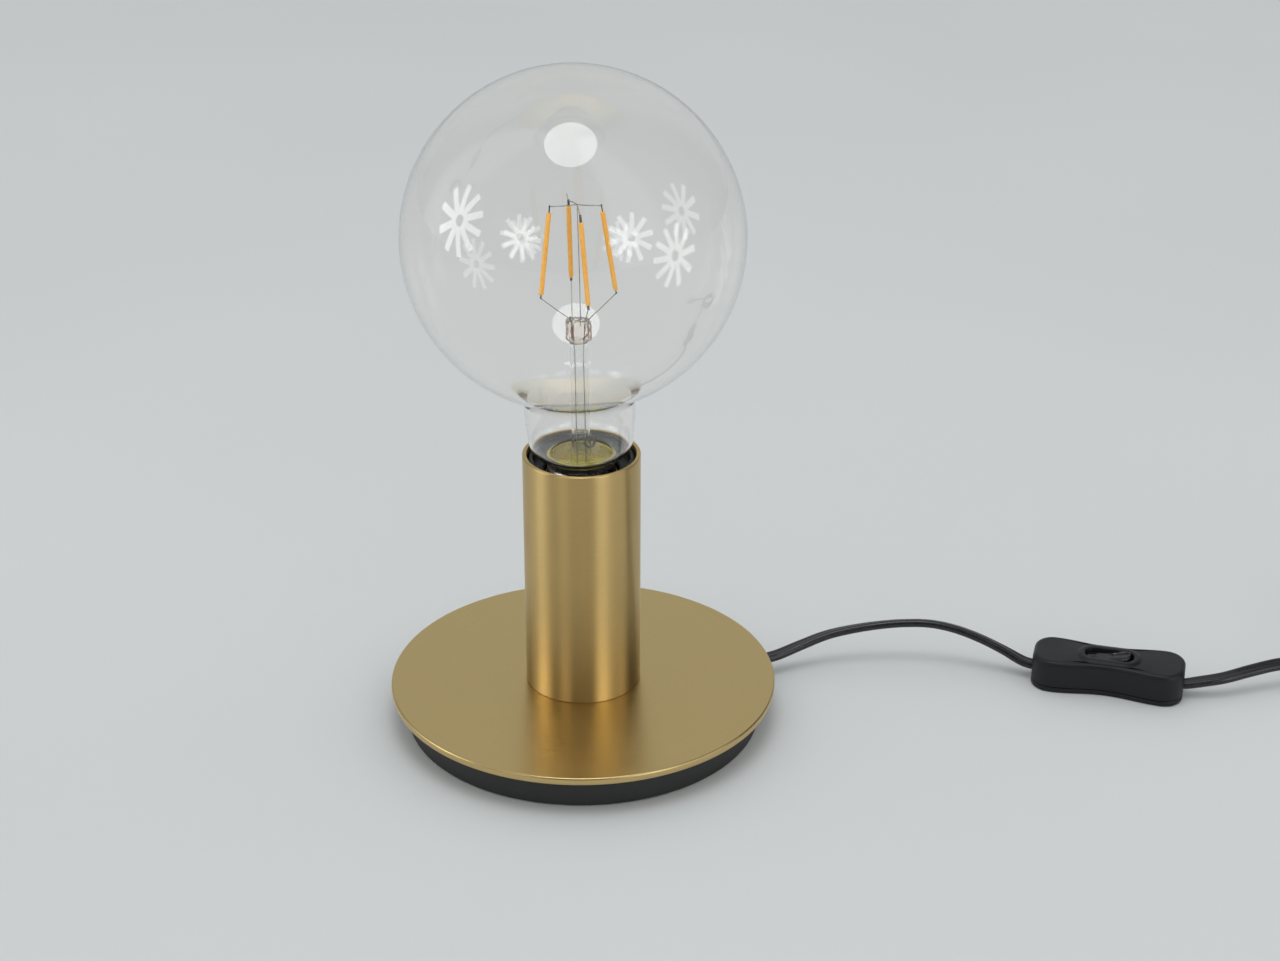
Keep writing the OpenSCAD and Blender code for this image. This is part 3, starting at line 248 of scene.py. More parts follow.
def skin(rings: Sequence[Sequence[Vector]], bm: Optional[Mesh] = None, closed: bool = True) -> Mesh:
    """A surface grown ring by ring: each is extruded from the one before and moved into place.

    Args:
        rings: closed rings of the same number of points.
        bm: mesh to add to, or None for a new one.
        closed: True puts a face over the first and the last ring.

    Returns:
        The mesh.
    """
    bm = bm or bmesh.new()
    verts = [bm.verts.new(p) for p in rings[0]]
    edges = [bm.edges.new(pair) for pair in zip(verts, verts[1:] + verts[:1])]
    if closed:
        bmesh.ops.edgeloop_fill(bm, edges=edges)
    for ring in rings[1:]:
        made = bmesh.ops.extrude_edge_only(bm, edges=edges)["geom"]
        fresh = {g for g in made if isinstance(g, bmesh.types.BMVert)}
        verts = [next(e.other_vert(v) for e in v.link_edges if e.other_vert(v) in fresh) for v in verts]
        for vert, point in zip(verts, ring):
            vert.co = point
        edges = [g for g in made if isinstance(g, bmesh.types.BMEdge) and set(g.verts) <= fresh]
    if closed:
        bmesh.ops.edgeloop_fill(bm, edges=edges)
    return bm


def revolve(profile: Sequence[Flat], steps: int, bm: Optional[Mesh] = None) -> Mesh:
    """Spins a closed profile of (radius, height) points about Z.

    Args:
        profile: points in order. Points on the axis meet in one pole.
        steps: number of steps round.
        bm: mesh to add to, or None for a new one.

    Returns:
        The mesh, with doubled points merged.
    """
    bm = bm or bmesh.new()
    verts = [bm.verts.new((r, 0, z)) for r, z in profile]
    edges = [bm.edges.new((a, b)) for a, b in zip(verts, verts[1:])]
    if profile[0][0] > 1e-9 or profile[-1][0] > 1e-9:
        edges.append(bm.edges.new((verts[-1], verts[0])))
    bmesh.ops.spin(bm, geom=verts + edges, cent=(0, 0, 0), axis=(0, 0, 1), dvec=(0, 0, 0),
                   angle=2 * math.pi, steps=steps, use_merge=True, use_duplicate=False)
    bmesh.ops.remove_doubles(bm, verts=bm.verts, dist=1e-4)
    return bm


def smooth_route(points: Sequence[Vector], pieces: int) -> list[Vector]:
    """A smooth line through points.

    Args:
        points: points that it passes.
        pieces: steps between two of them.

    Returns:
        The line's points.
    """
    n = len(points)
    line: list[Vector] = []
    for i in range(n - 1):
        a, b = points[i], points[i + 1]
        gap = (b - a).length
        before = points[i - 1] if i else a + (a - b)
        after = points[i + 2] if i + 2 < n else b + (b - a)
        ta = (b - before) * (gap / max((b - a).length + (a - before).length, 1e-9))
        tb = (after - a) * (gap / max((after - b).length + (b - a).length, 1e-9))
        for k in range(pieces):
            t = k / pieces
            line.append((2 * t ** 3 - 3 * t * t + 1) * a + (t ** 3 - 2 * t * t + t) * ta
                        + (3 * t * t - 2 * t ** 3) * b + (t ** 3 - t * t) * tb)
    return line + [points[-1]]


def wire(points: Sequence[Sequence[float]], steps: int, radius: float, bm: Mesh) -> None:
    """Adds a round wire that runs smoothly through points, closed at both ends.

    Args:
        points: points along its middle.
        steps: steps between two of them.
        radius: its radius.
        bm: mesh to add to.
    """
    route = smooth_route([Vector(p) for p in points], steps)
    side = (route[1] - route[0]).normalized().orthogonal().normalized()
    rings = []
    for before, point, after in zip([route[0], *route], route, [*route[1:], route[-1]]):
        along = (after - before).normalized()
        side = (side - side.dot(along) * along).normalized()
        top = along.cross(side)
        rings.append([point + x * side + y * top for x, y in circle(radius, 8)])
    skin(rings, bm)


def join(bm: Mesh, part: Mesh) -> None:
    """Adds a finished mesh to another one and frees it.

    Args:
        bm: the mesh to add to.
        part: the mesh that is added.
    """
    kept = bpy.data.meshes.new("joined")
    part.to_mesh(kept)
    part.free()
    bm.from_mesh(kept)
    bpy.data.meshes.remove(kept)


def mark(bm: Mesh, first: int, index: int = 1) -> None:
    """Gives faces another of the piece's finishes.

    Args:
        bm: the mesh.
        first: the first of the faces. All after it are among them.
        index: number of the finish.
    """
    bm.faces.ensure_lookup_table()
    for face in bm.faces[first:]:
        face.material_index = index


def piece(bm: Mesh, name: str, body: str, node: str = "", place: Matrix = Matrix.Identity(4),
          sharp: float = 35.0) -> Item:
    """Turns a mesh in millimetres into a finished object in metres that rides on a body.

    Args:
        bm: the mesh, freed afterwards.
        name: object name.
        body: the CAD body that it moves with.
        node: the CAD node that it stands for, if one only.
        place: where the mesh goes, in millimetres.
        sharp: edges that turn more than this many degrees stay crisp.

    Returns:
        The object, at the origin.
    """
    bmesh.ops.remove_doubles(bm, verts=bm.verts, dist=1e-4)
    bmesh.ops.recalc_face_normals(bm, faces=bm.faces)
    bm.transform(Matrix.Scale(MM, 4) @ place)
    if place.determinant() < 0:
        bmesh.ops.reverse_faces(bm, faces=bm.faces)
    for face in bm.faces:
        face.smooth = True
    for edge in bm.edges:
        edge.smooth = not (len(edge.link_faces) == 2 and edge.calc_face_angle(0.0) > math.radians(sharp))
    mesh = bpy.data.meshes.new(name)
    bm.to_mesh(mesh)
    bm.free()
    made = bpy.data.objects.new(name, mesh)
    bpy.context.scene.collection.objects.link(made)
    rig.ride(made, body)
    if node:
        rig.replaces(made, node)
    log.info("%s: %d faces", name, len(mesh.polygons))
    return made


# ---------------------------------------------------------------- finishes

class Graph:
    """The nodes of a material or world, with short calls for those that the finishes use."""

    def __init__(self, owner: Material | bpy.types.World, output: str = "ShaderNodeOutputMaterial") -> None:
        """Clears the owner's nodes and adds its output.

        Args:
            owner: the material or world.
            output: the output's type.
        """
        self.owner = owner
        owner.use_nodes = True
        self.tree = owner.node_tree
        self.tree.nodes.clear()
        self.output = self.tree.nodes.new(output)

    def add(self, kind: str, values: Optional[dict[str, object]] = None, **settings: object) -> bpy.types.Node:
        """Adds a node.

        Args:
            kind: the node's type.
            values: input values by name.
            settings: the node's own settings.

        Returns:
            The node.
        """
        node = self.tree.nodes.new(kind)
        for key, value in settings.items():
            setattr(node, key, value)
        for key, value in (values or {}).items():
            node.inputs[key].default_value = value
        return node

    def link(self, source: Socket, target: Socket) -> None:
        """Links an output to an input."""
        self.tree.links.new(source, target)

    def feed(self, kind: str, source: Socket, values: Optional[dict[str, object]] = None,
             **settings: object) -> Sequence[Socket]:
        """Adds a node behind a socket.

        Args:
            kind: the node's type.
            source: what goes into its first input.
            values: input values by name.
            settings: the node's own settings.

        Returns:
            Its outputs.
        """
        node = self.add(kind, values, **settings)
        self.link(source, node.inputs[0])
        return node.outputs

    def mix(self, when: Socket, first: Socket, second: Socket) -> Socket:
        """Mixes two shaders.

        Args:
            when: 0 for the first, 1 for the second.
            first: one shader.
            second: the other.

        Returns:
            The mixed shader.
        """
        node = self.add("ShaderNodeMixShader")
        for source, target in zip((when, first, second), node.inputs):
            self.link(source, target)
        return node.outputs[0]

    def coordinates(self) -> Socket:
        """Object coordinates."""
        return self.add("ShaderNodeTexCoord").outputs["Object"]

    def noise(self, vector: Socket, scale: float, detail: float = 4.0, rough: float = 0.5,
              warp: float = 0.0) -> Socket:
        """Noise between 0 and 1."""
        values = {"Scale": scale, "Detail": detail, "Roughness": rough, "Distortion": warp}
        return self.feed("ShaderNodeTexNoise", vector, values)["Fac"]

    def spread(self, source: Socket, low: float, high: float, near: float = 0.3, far: float = 0.7) -> Socket:
        """Maps a value, such as the middle of a noise, onto a range."""
        ends = {"From Min": near, "From Max": far, "To Min": low, "To Max": high}
        return self.feed("ShaderNodeMapRange", source, ends)["Result"]

    def math(self, kind: str, a: Socket, b: Socket | float) -> Socket:
        """Works out a value from a socket and a socket or number.

        Args:
            kind: the operation.
            a: the first value.
            b: the second value.

        Returns:
            The result.
        """
        node = self.add("ShaderNodeMath", operation=kind)
        self.link(a, node.inputs[0])
        if isinstance(b, (int, float)):
            node.inputs[1].default_value = b
        else:
            self.link(b, node.inputs[1])
        return node.outputs[0]

    def gloss(self, wide: Socket, low: float, high: float, fine: Socket, swing: float) -> Socket:
        """A roughness from low to high over wide patches, on which the fine grain swings."""
        return self.math("ADD", self.spread(wide, low, high), self.spread(fine, -swing, swing))

    def colours(self, source: Socket, stops: Sequence[tuple[float, Colour]], blend: str = "LINEAR") -> Socket:
        """A colour ramp over a value.

        Args:
            source: the value.
            stops: positions and colours.
            blend: how the ramp goes from one to the next.

        Returns:
            The colour.
        """
        node = self.add("ShaderNodeValToRGB")
        ramp = node.color_ramp
        ramp.interpolation = blend
        while len(ramp.elements) < len(stops):
            ramp.elements.new(0.5)
        for element, (position, colour) in zip(ramp.elements, stops):
            element.position = position
            element.color = (*colour, 1)
        self.link(source, node.inputs["Fac"])
        return node.outputs["Color"]

    def shades(self, source: Socket, colour: Colour, *stops: Flat) -> Socket:
        """One colour over a value, made lighter or darker by a share at each (position, share)."""
        return self.colours(source, [(at, tuple(min(1.0, c * share) for c in colour)) for at, share in stops])

    def bump(self, height: Socket, strength: float, distance: float) -> Socket:
        """A bumped normal.

        Args:
            height: the surface's height.
            strength: how strongly it shows, from 0 to 1.
            distance: how high it is, in metres.

        Returns:
            The normal.
        """
        node = self.add("ShaderNodeBump", {"Strength": strength, "Distance": distance})
        self.link(height, node.inputs["Height"])
        return node.outputs["Normal"]

    def shader(self, values: dict[str, object], links: dict[str, Socket]) -> bpy.types.Node:
        """The surface's main shader, joined to the output.

        Args:
            values: plain input values by name.
            links: sockets for the other inputs.

        Returns:
            The shader's node.
        """
        node = self.add("ShaderNodeBsdfPrincipled", values)
        for key, source in links.items():
            self.link(source, node.inputs[key])
        self.link(node.outputs["BSDF"], self.output.inputs["Surface"])
        return node


@dataclass(frozen=True)
class Finish:
    """A material by name. Its slot in the record has the same name, unless another is given."""

    name: str
    slot: str = field(default="", kw_only=True)

    def draw(self, g: Graph, place: Socket) -> None:
        """Adds the finish's nodes, from the object coordinates on."""
        raise NotImplementedError(self.name)

    def build(self) -> Material:
        """Makes the material.

        Returns:
            The material.
        """
        g = Graph(bpy.data.materials.new(self.name))
        self.draw(g, g.coordinates())
        return g.owner


class Brushing(Enum):
    """Which way the fine lines of a brushed metal run."""

    RINGS = "rings on a flat disc"
    AROUND = "around a tube"


@dataclass(frozen=True)
class BrushedBrass(Finish):
    """Satin brass with fine lines, faint smudges and a stretched sheen.

    `pitches` holds, for fine and coarse lines, their count per metre across and round.
    """

    brushing: Brushing
    colour: Colour
    roughness: float
    stretch: float
    pitches: Sequence[Flat] = ((9000.0, 5.0), (3300.0, 2.2))

    def draw(self, g: Graph, place: Socket) -> None:
        """Adds the finish's nodes.

        Args:
            g: the material's nodes.
            place: object coordinates.
        """
        flat = g.add("ShaderNodeVectorMath", operation="MULTIPLY")
        flat.inputs[1].default_value = (1, 1, 0)
        g.link(place, flat.inputs[0])
        turn = g.feed("ShaderNodeVectorMath", flat.outputs[0], operation="NORMALIZE")
        parts = g.feed("ShaderNodeSeparateXYZ", turn[0])
        if self.brushing is Brushing.RINGS:
            across = g.feed("ShaderNodeVectorMath", flat.outputs[0], operation="LENGTH")["Value"]
        else:
            across = g.feed("ShaderNodeSeparateXYZ", place)["Z"]
        lines = []
        for pitch, along in self.pitches:
            mixed = g.add("ShaderNodeCombineXYZ")
            for source, share, target in zip((across, *parts[:2]), (pitch, along, along), mixed.inputs):
                g.link(g.math("MULTIPLY", source, share), target)
            lines.append(g.noise(mixed.outputs[0], 1.0, 3.0, 0.6))
        smudge = g.noise(place, 38.0, 3.0, 0.55, 0.6)
        tone = g.math("ADD", g.math("MULTIPLY", lines[0], 0.45), g.math("MULTIPLY", lines[1], 0.55))
        tangent = g.add("ShaderNodeTangent", direction_type="RADIAL", axis="Z")
        g.shader({"Metallic": 1.0, "Anisotropic": self.stretch, "Anisotropic Rotation": 0.25},
                 {"Base Color": g.shades(tone, self.colour, (0.3, 0.95), (0.52, 1), (0.72, 1.04)),
                  "Roughness": g.gloss(smudge, self.roughness - 0.02, self.roughness + 0.03, lines[1], 0.015),
                  "Tangent": tangent.outputs[0], "Normal": g.bump(tone, 0.04, 0.00001)})


@dataclass(frozen=True)
class Metal(Finish):
    """Bare or plated metal with grain, light wear and stains."""

    colour: Colour
    roughness: float = 0.3
    grain: float = 900.0
    stain: float = 0.12
    relief: float = 0.00002

    def draw(self, g: Graph, place: Socket) -> None:
        """Adds the finish's nodes.

        Args:
            g: the material's nodes.
            place: object coordinates.
        """
        fine = g.noise(place, self.grain, 5.0, 0.6)
        wide = g.noise(place, self.grain / 12, 3.0, 0.5, 0.4)
        g.shader({"Metallic": 1.0},
                 {"Base Color": g.shades(wide, self.colour, (0.3, 1 - self.stain), (0.55, 1),
                                         (0.8, 1 + self.stain / 2)),
                  "Roughness": g.gloss(wide, self.roughness - 0.06, self.roughness + 0.08, fine, 0.03),
                  "Normal": g.bump(fine, 0.25, self.relief)})


@dataclass(frozen=True)
class Moulding(Finish):
    """Moulded plastic or paint: a fine spark-eroded grain, faint mottling and rubbed high spots."""

    colour: Colour
    roughness: float = 0.4
    grain: float = 2600.0
    relief: float = 0.00003
    strength: float = 0.3
    mottle: float = 0.15
    shine: float = 0.5

    def draw(self, g: Graph, place: Socket) -> None:
        """Adds the finish's nodes.

        Args:
            g: the material's nodes.
            place: object coordinates.
        """
        fine = g.noise(place, self.grain, 3.0, 0.6)
        wide = g.noise(place, 90.0, 4.0, 0.5, 0.3)
        g.shader({"Specular IOR Level": self.shine},
                 {"Base Color": g.shades(wide, self.colour, (0.3, 1 - self.mottle), (0.55, 1),
                                         (0.8, 1 + self.mottle)),
                  "Roughness": g.gloss(wide, self.roughness - 0.05, self.roughness + 0.06, fine, 0.04),
                  "Normal": g.bump(fine, self.strength, self.relief)})


@dataclass(frozen=True)
class Sheath(Finish):
    """Soft cord sheath with long draw marks and dull scuffs."""

    colour: Colour

    def draw(self, g: Graph, place: Socket) -> None:
        """Adds the finish's nodes.

        Args:
            g: the material's nodes.
            place: object coordinates.
        """
        fine = g.noise(place, 1800.0, 3.0, 0.5)
        scuff = g.noise(place, 160.0, 5.0, 0.65, 0.8)
        g.shader({"Specular IOR Level": 0.55},
                 {"Base Color": g.shades(scuff, self.colour, (0.35, 1), (0.6, 1.25), (0.78, 1.9)),
                  "Roughness": g.gloss(scuff, 0.22, 0.38, fine, 0.03), "Normal": g.bump(fine, 0.2, 0.00003)})


@dataclass(frozen=True)
class ClearGlass(Finish):
    """Clear blown glass whose wall wavers slightly. Light from the lamps passes through it."""

    colour: Colour = (0.988, 0.983, 0.972)
    waver: float = 0.02
    scale: float = 24.0
    refraction: float = 1.47

    def draw(self, g: Graph, place: Socket) -> None:
        """Adds the finish's nodes.

        Args:
            g: the material's nodes.
            place: object coordinates.
        """
        wave = g.noise(place, self.scale, 1.5, 0.4)
        glass = g.shader({"Base Color": (*self.colour, 1), "Roughness": 0.0, "IOR": self.refraction,
                          "Transmission Weight": 1.0},
                         {"Normal": g.bump(wave, self.waver, 0.0005)})
        clear = g.add("ShaderNodeBsdfTransparent")
        shadow = g.add("ShaderNodeLightPath").outputs["Is Shadow Ray"]
        g.link(g.mix(shadow, glass.outputs[0], clear.outputs[0]), g.output.inputs["Surface"])


@dataclass(frozen=True)
class Spotted(Finish):
    """A coat with clouds and spots of a second colour, such as resin, solder or amber silicone."""

    colour: Colour
    second: Colour
    roughness: float = 0.35
    scale: float = 220.0
    share: float = 0.55
    relief: float = 0.0001
    strength: float = 0.4

    def draw(self, g: Graph, place: Socket) -> None:
        """Adds the finish's nodes.

        Args:
            g: the material's nodes.
            place: object coordinates.
        """
        clouds = g.noise(place, self.scale, 4.0, 0.6, 0.5)
        fine = g.noise(place, self.scale * 6, 3.0, 0.5)
        dark = tuple(c * 0.8 for c in self.second)
        colour = g.colours(clouds, [(self.share - 0.12, self.colour), (self.share + 0.1, self.second),
                                    (self.share + 0.25, dark)])
        height = g.math("ADD", clouds, g.math("MULTIPLY", fine, 0.3))
        g.shader({}, {"Base Color": colour, "Roughness": g.spread(fine, self.roughness - 0.07, self.roughness + 0.1),
                      "Normal": g.bump(height, self.strength, self.relief)})


BRASS_DISC = BrushedBrass("brass_disc", Brushing.RINGS, (0.614, 0.458, 0.206), 0.3, 0.25, slot="brushed_brass")
BRASS_TUBE = BrushedBrass("brass_tube", Brushing.AROUND, (0.62, 0.447, 0.19), 0.35, 0.97, slot="brushed_brass")
# Dark dull brass for the tube's inner wall: painted shade, standing in for the shade inside the tube.
BRASS_INSIDE_PAINTED_SHADE = Metal("brass_inside", (0.2, 0.15, 0.075), 0.5, 900.0, 0.3, slot="brushed_brass")
BLACK_PAINT = Moulding("black_paint", (0.019, 0.019, 0.02), 0.5, 1500.0, 0.00008, 0.5)
FOAM = Moulding("foam", (0.03, 0.03, 0.03), 0.9, 1200.0, 0.0003, 0.9, 0.3, 0.2)
COVER_STEEL = Moulding("cover_steel", (0.07, 0.07, 0.075), 0.45, 1100.0, 0.00005, 0.4)
ZINC_STEEL = Metal("zinc_steel", (0.62, 0.62, 0.65), 0.32, 1400.0, 0.18)
CAST_WEIGHT = Metal("cast_weight", (0.2, 0.19, 0.185), 0.68, 700.0, 0.35, 0.0003)
HOLDER_PLASTIC = Moulding("holder_plastic", (0.004, 0.004, 0.005), 0.3, 1800.0, 0.00002, 0.3, 0.15, 0.15)
CERAMIC = Moulding("ceramic", (0.74, 0.71, 0.63), 0.35, 900.0, 0.00005, 0.3, 0.06)
CONTACT_BRASS = Metal("contact_brass", (0.72, 0.56, 0.29), 0.25, 1600.0, 0.15)
COPPER = Metal("copper", (0.8, 0.44, 0.28), 0.25, 1600.0, 0.2)
GLOBE_GLASS = ClearGlass("globe_glass", slot="clear_glass")
STEM_GLASS = ClearGlass("stem_glass", (0.975, 0.982, 0.98), 0.1, 150.0, 1.38, slot="clear_glass")
WIRE = Metal("support_wire", (0.36, 0.34, 0.31), 0.38, 2500.0, 0.3)
PINCH_GLASS = ClearGlass("pinch_glass", (0.83, 0.78, 0.73), 0.35, 420.0, 1.5, slot="clear_glass")
# Dark grey glass on the rim of the stem's hole: painted shade for the dark ring that the clear rim shows.
HOLE_RIM_PAINTED_DARK = ClearGlass("hole_edge", (0.16, 0.17, 0.18), 0.1, 150.0, 1.5, slot="clear_glass")
SEAL = Metal("seal_wire", (0.4, 0.2, 0.12), 0.4, 2500.0, 0.3, slot="support_wire")
TAB = Metal("filament_tab", (0.09, 0.085, 0.08), 0.45, 2500.0, 0.3, slot="support_wire")
AMBER = Spotted("filament_coat", (0.98, 0.43, 0.035), (0.98, 0.5, 0.07), 0.4, 500.0, 0.5, 0.00005, 0.35)
RESIN = Spotted("driver_cover", (0.34, 0.3, 0.001), (0.26, 0.15, 0.002), 0.42, 150.0, 0.6, 0.0002, 0.1)
BOARD = Spotted("circuit_board", (0.05, 0.2, 0.09), (0.09, 0.3, 0.14), 0.4, 420.0, 0.5)
CAP_METAL = Metal("cap_metal", (0.72, 0.7, 0.66), 0.24, 1300.0, 0.12)
CAP_BLACK = Moulding("cap_black", (0.015, 0.015, 0.017), 0.12, 700.0, 0.00003, 0.3, 0.2, 0.6)
CORD = Sheath("cord_sheath", (0.009, 0.009, 0.011))
BROWN = Moulding("brown_insulation", (0.16, 0.07, 0.03), 0.38, 1800.0)
BLUE = Moulding("blue_insulation", (0.03, 0.12, 0.45), 0.38, 1800.0)
RELIEF_PLASTIC = Moulding("relief_plastic", (0.018, 0.018, 0.019), 0.42, 1500.0)
SWITCH_PLASTIC = Moulding("switch_plastic", (0.008, 0.008, 0.01), 0.42, 3200.0, 0.00003, 0.35, 0.15, 0.34)
ROCKER_PLASTIC = Moulding("rocker_plastic", (0.003, 0.003, 0.004), 0.16, 800.0, 0.00002, 0.2)

CARRIED = {
    FOAM: ("foot_pad",), COVER_STEEL: ("bottom_cover",),
    ZINC_STEEL: ("cover_screws", "clamping_rod", "rod_washers", "rod_nuts", "tube_bridge", "terminal_screws",
                 "cord_clamp", "clamp_screws", "switch_screws", "rocker_pin"),
    CAST_WEIGHT: ("ballast_weight",), HOLDER_PLASTIC: ("holder_lower_shell",), CERAMIC: ("contact_block",),
    CONTACT_BRASS: ("screw_shell", "centre_contact", "side_contact", "holder_terminals", "rocker_plunger",
                    "seesaw_post", "switch_terminals"),
    COPPER: ("seesaw_contact",), CORD: ("cord_inner",),
    BROWN: ("brown_core", "line_cores"), BLUE: ("blue_core", "neutral_core"),
    SWITCH_PLASTIC: ("switch_grips",),
}


class Wardrobe:
    """Makes each finish once and puts it on pieces."""

    def __init__(self) -> None:
        """Starts with no material made."""
        self.made: dict[str, Material] = {}

    def material(self, finish: Finish) -> Material:
        """A finish's material, made when it's first asked for.

        Args:
            finish: the finish.

        Returns:
            The material.
        """
        if finish.name not in self.made:
            self.made[finish.name] = finish.build()
        return self.made[finish.name]

    def dress(self, item: Item, *finishes: Finish) -> None:
        """Gives a new piece its materials and names its slot in the record.

        Args:
            item: the piece.
            finishes: its finishes. The first one names the slot.
        """
        for finish in finishes:
            item.data.materials.append(self.material(finish))
        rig.slot(item, finishes[0].slot or finishes[0].name)

    def dress_carried(self) -> None:
        """Gives the CAD nodes that stay their materials."""
        for finish, nodes in CARRIED.items():
            for name in nodes:
                item = frame["nodes"][name]
                material = self.material(finish)
                if not item.material_slots:
                    item.data.materials.append(material)
                for slot in item.material_slots:
                    slot.link = "OBJECT"
                    slot.material = material
                log.info("%s: carried, in %s", name, finish.name)


WARDROBE = Wardrobe()


# ---------------------------------------------------------------- studio

@dataclass(frozen=True)
class Flower:
    """A ring of strip lamps, as the photograph's globe mirrors them.

    It stands at an azimuth and height in degrees, seen from the globe, and reaches so far in metres.
    """

    name: str
    watts: float
    azimuth: float
    height: float
    reach: float

    @property
    def towards(self) -> Vector:
        """Its direction from the globe."""
        return (Matrix.Rotation(math.radians(self.azimuth), 3, "Z")
                @ Matrix.Rotation(math.radians(-self.height), 3, "X") @ Vector((0, -1, 0)))


@dataclass
class Studio:
    """Camera at the photograph's angle, pale floor, overhead lamp, flowers of strip lamps, and the room.

    `room` is what metal sees round the set: brightness by azimuth in degrees, 0 towards the camera.
    A petal's size, and how far out its middle is, are shares of the flower's reach.
    """

    focal_px: float = 2341.46
    width_px: float = 1280.0
    sensor: float = 36.0
    pitch: float = 25.857
    roll: float = 0.191
    eye: Sequence[float] = (0.021954, -0.793930, 0.485231)
    backdrop: Colour = (0.603, 0.63, 0.634)
    floor_colour: Colour = (0.613, 0.64, 0.646)
    room_tint: Colour = (0.96, 1.0, 1.0)
    fill: float = 0.8
    above_size: Flat = (0.8, 0.94)
    above_watts: float = 6.0
    above_place: Sequence[float] = (-0.025, -0.23, 1.75)
    globe_z: float = 0.197
    flower_range: float = 1.1
    petals: int = 10
    petal_size: Flat = (0.2, 0.8)
    petal_out: float = 0.55
    flowers: Sequence[Flower] = (
        Flower("left", 0.2, -80.0, 13.0, 0.37), Flower("right", 0.07, 82.0, 18.0, 0.3),
        Flower("front_left", 0.08, -33.6, 18.0, 0.28), Flower("front_right", 0.12, 40.0, 16.5, 0.31))
    room: Sequence[Flat] = (
        (-180, 0.56), (-162, 0.56), (-150, 0.5), (-120, 0.2), (-110, 0.85), (-86, 0.85), (-74, 0.25),
        (-58, 0.25), (-30, 0.08), (22, 0.08), (34, 1.0), (60, 1.0), (72, 0.3), (92, 0.25),
        (106, 0.04), (126, 0.08), (150, 0.5), (162, 0.56), (180, 0.56))

    def make_camera(self) -> Item:
        """Makes the camera and hands it to the scene.

        Returns:
            The camera.
        """
        data = bpy.data.cameras.new("camera")
        data.sensor_width = self.sensor
        data.lens = self.focal_px / self.width_px * self.sensor
        data.clip_start, data.clip_end = 0.05, 20.0
        p, r = math.radians(self.pitch), math.radians(self.roll)
        ahead = Vector((0, math.cos(p), -math.sin(p)))
        right, up = Vector((1, 0, 0)), Vector((0, math.sin(p), math.cos(p)))
        right, up = right * math.cos(r) + up * math.sin(r), up * math.cos(r) - right * math.sin(r)
        item = bpy.data.objects.new("camera", data)
        item.matrix_world = Matrix.Translation(self.eye) @ Matrix((right, up, -ahead)).transposed().to_4x4()
        bpy.context.scene.collection.objects.link(item)
        bpy.context.scene.camera = item
        return item

    def make_world(self) -> None:
        """Soft fill light, the plain backdrop where the camera and glass see it, and the room in metal."""
        world = bpy.data.worlds.new("tent")
        bpy.context.scene.world = world
        g = Graph(world, "ShaderNodeOutputWorld")
        path = g.add("ShaderNodeLightPath").outputs
        fill = g.add("ShaderNodeBackground", {"Color": (1, 1, 1, 1), "Strength": self.fill})
        plain = g.add("ShaderNodeBackground", {"Color": (*self.backdrop, 1)})
        room = g.add("ShaderNodeBackground", {"Color": (*self.room_tint, 1)})
        g.link(self.room_level(g), room.inputs["Strength"])
        seen = g.math("MAXIMUM", path["Is Camera Ray"], path["Is Transmission Ray"])
        shown = g.mix(path["Is Glossy Ray"], fill.outputs[0], room.outputs[0])
        g.link(g.mix(seen, shown, plain.outputs[0]), g.output.inputs["Surface"])

    def room_level(self, g: Graph) -> Socket:
        """Brightness of the room by azimuth, as a ramp.

        Args:
            g: the world's nodes.

        Returns:
            The brightness.
        """
        parts = g.feed("ShaderNodeSeparateXYZ", g.add("ShaderNodeTexCoord").outputs["Generated"])
        azimuth = g.math("ARCTAN2", parts["X"], g.math("MULTIPLY", parts["Y"], -1))
        share = g.spread(azimuth, 0.0, 1.0, -math.pi, math.pi)
        return g.colours(share, [(angle / 360 + 0.5, (level, level, level)) for angle, level in self.room], "EASE")

    def make_floor(self) -> Item:
        """A wide pale floor that keeps the lamp's shadow.

        Returns:
            The floor.
        """
        bm = bmesh.new()
        bmesh.ops.create_grid(bm, x_segments=4, y_segments=4, size=6000)
        floor = piece(bm, "floor", "base")
        floor.parent = None
        del floor["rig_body"]
        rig.stage(floor)
        g = Graph(bpy.data.materials.new("floor_paper"))
        tone = g.noise(g.coordinates(), 3.0, 2.0, 0.4)
        g.shader({"Roughness": 0.9, "Specular IOR Level": 0.1},
                 {"Base Color": g.shades(tone, self.floor_colour, (0.3, 0.985), (0.7, 1.015))})
        floor.data.materials.append(g.owner)
        return floor

    def lamp(self, name: str, size: Flat, watts: float, place: Matrix, lights: bool = True) -> None:
        """Adds an area lamp.

        Args:
            name: its name.
            size: width and height in metres.
            watts: its power.
            place: where it stands. It shines along its own -Z.
            lights: True for an oval lamp, False for a strip that only shows in glass and metal.
        """
        data = bpy.data.lights.new(name, "AREA")
        data.shape = "ELLIPSE" if lights else "RECTANGLE"
        data.size, data.size_y = size
        data.energy = watts
        item = bpy.data.objects.new(name, data)
        item.matrix_world = place
        item.visible_diffuse = lights
        bpy.context.scene.collection.objects.link(item)

    def make_lamps(self) -> None:
        """The oval soft lamp above, and the flowers round the set."""
        self.lamp("lamp_above", self.above_size, self.above_watts, Matrix.Translation(self.above_place))
        for flower in self.flowers:
            out = flower.towards * self.flower_range
            facing = out.to_track_quat("Z", "Y").to_matrix().to_4x4()
            place = Matrix.Translation(Vector((0, 0, self.globe_z)) + out) @ facing
            width, length = self.petal_size
            for k in range(self.petals):
                petal = place @ placed(turn=360 * (k + 0.5) / self.petals) @ placed(y=flower.reach * self.petal_out)
                self.lamp(f"lamp_{flower.name}_{k}", (flower.reach * width, flower.reach * length), flower.watts,
                          petal, False)


# ---------------------------------------------------------------- parts of the lamp

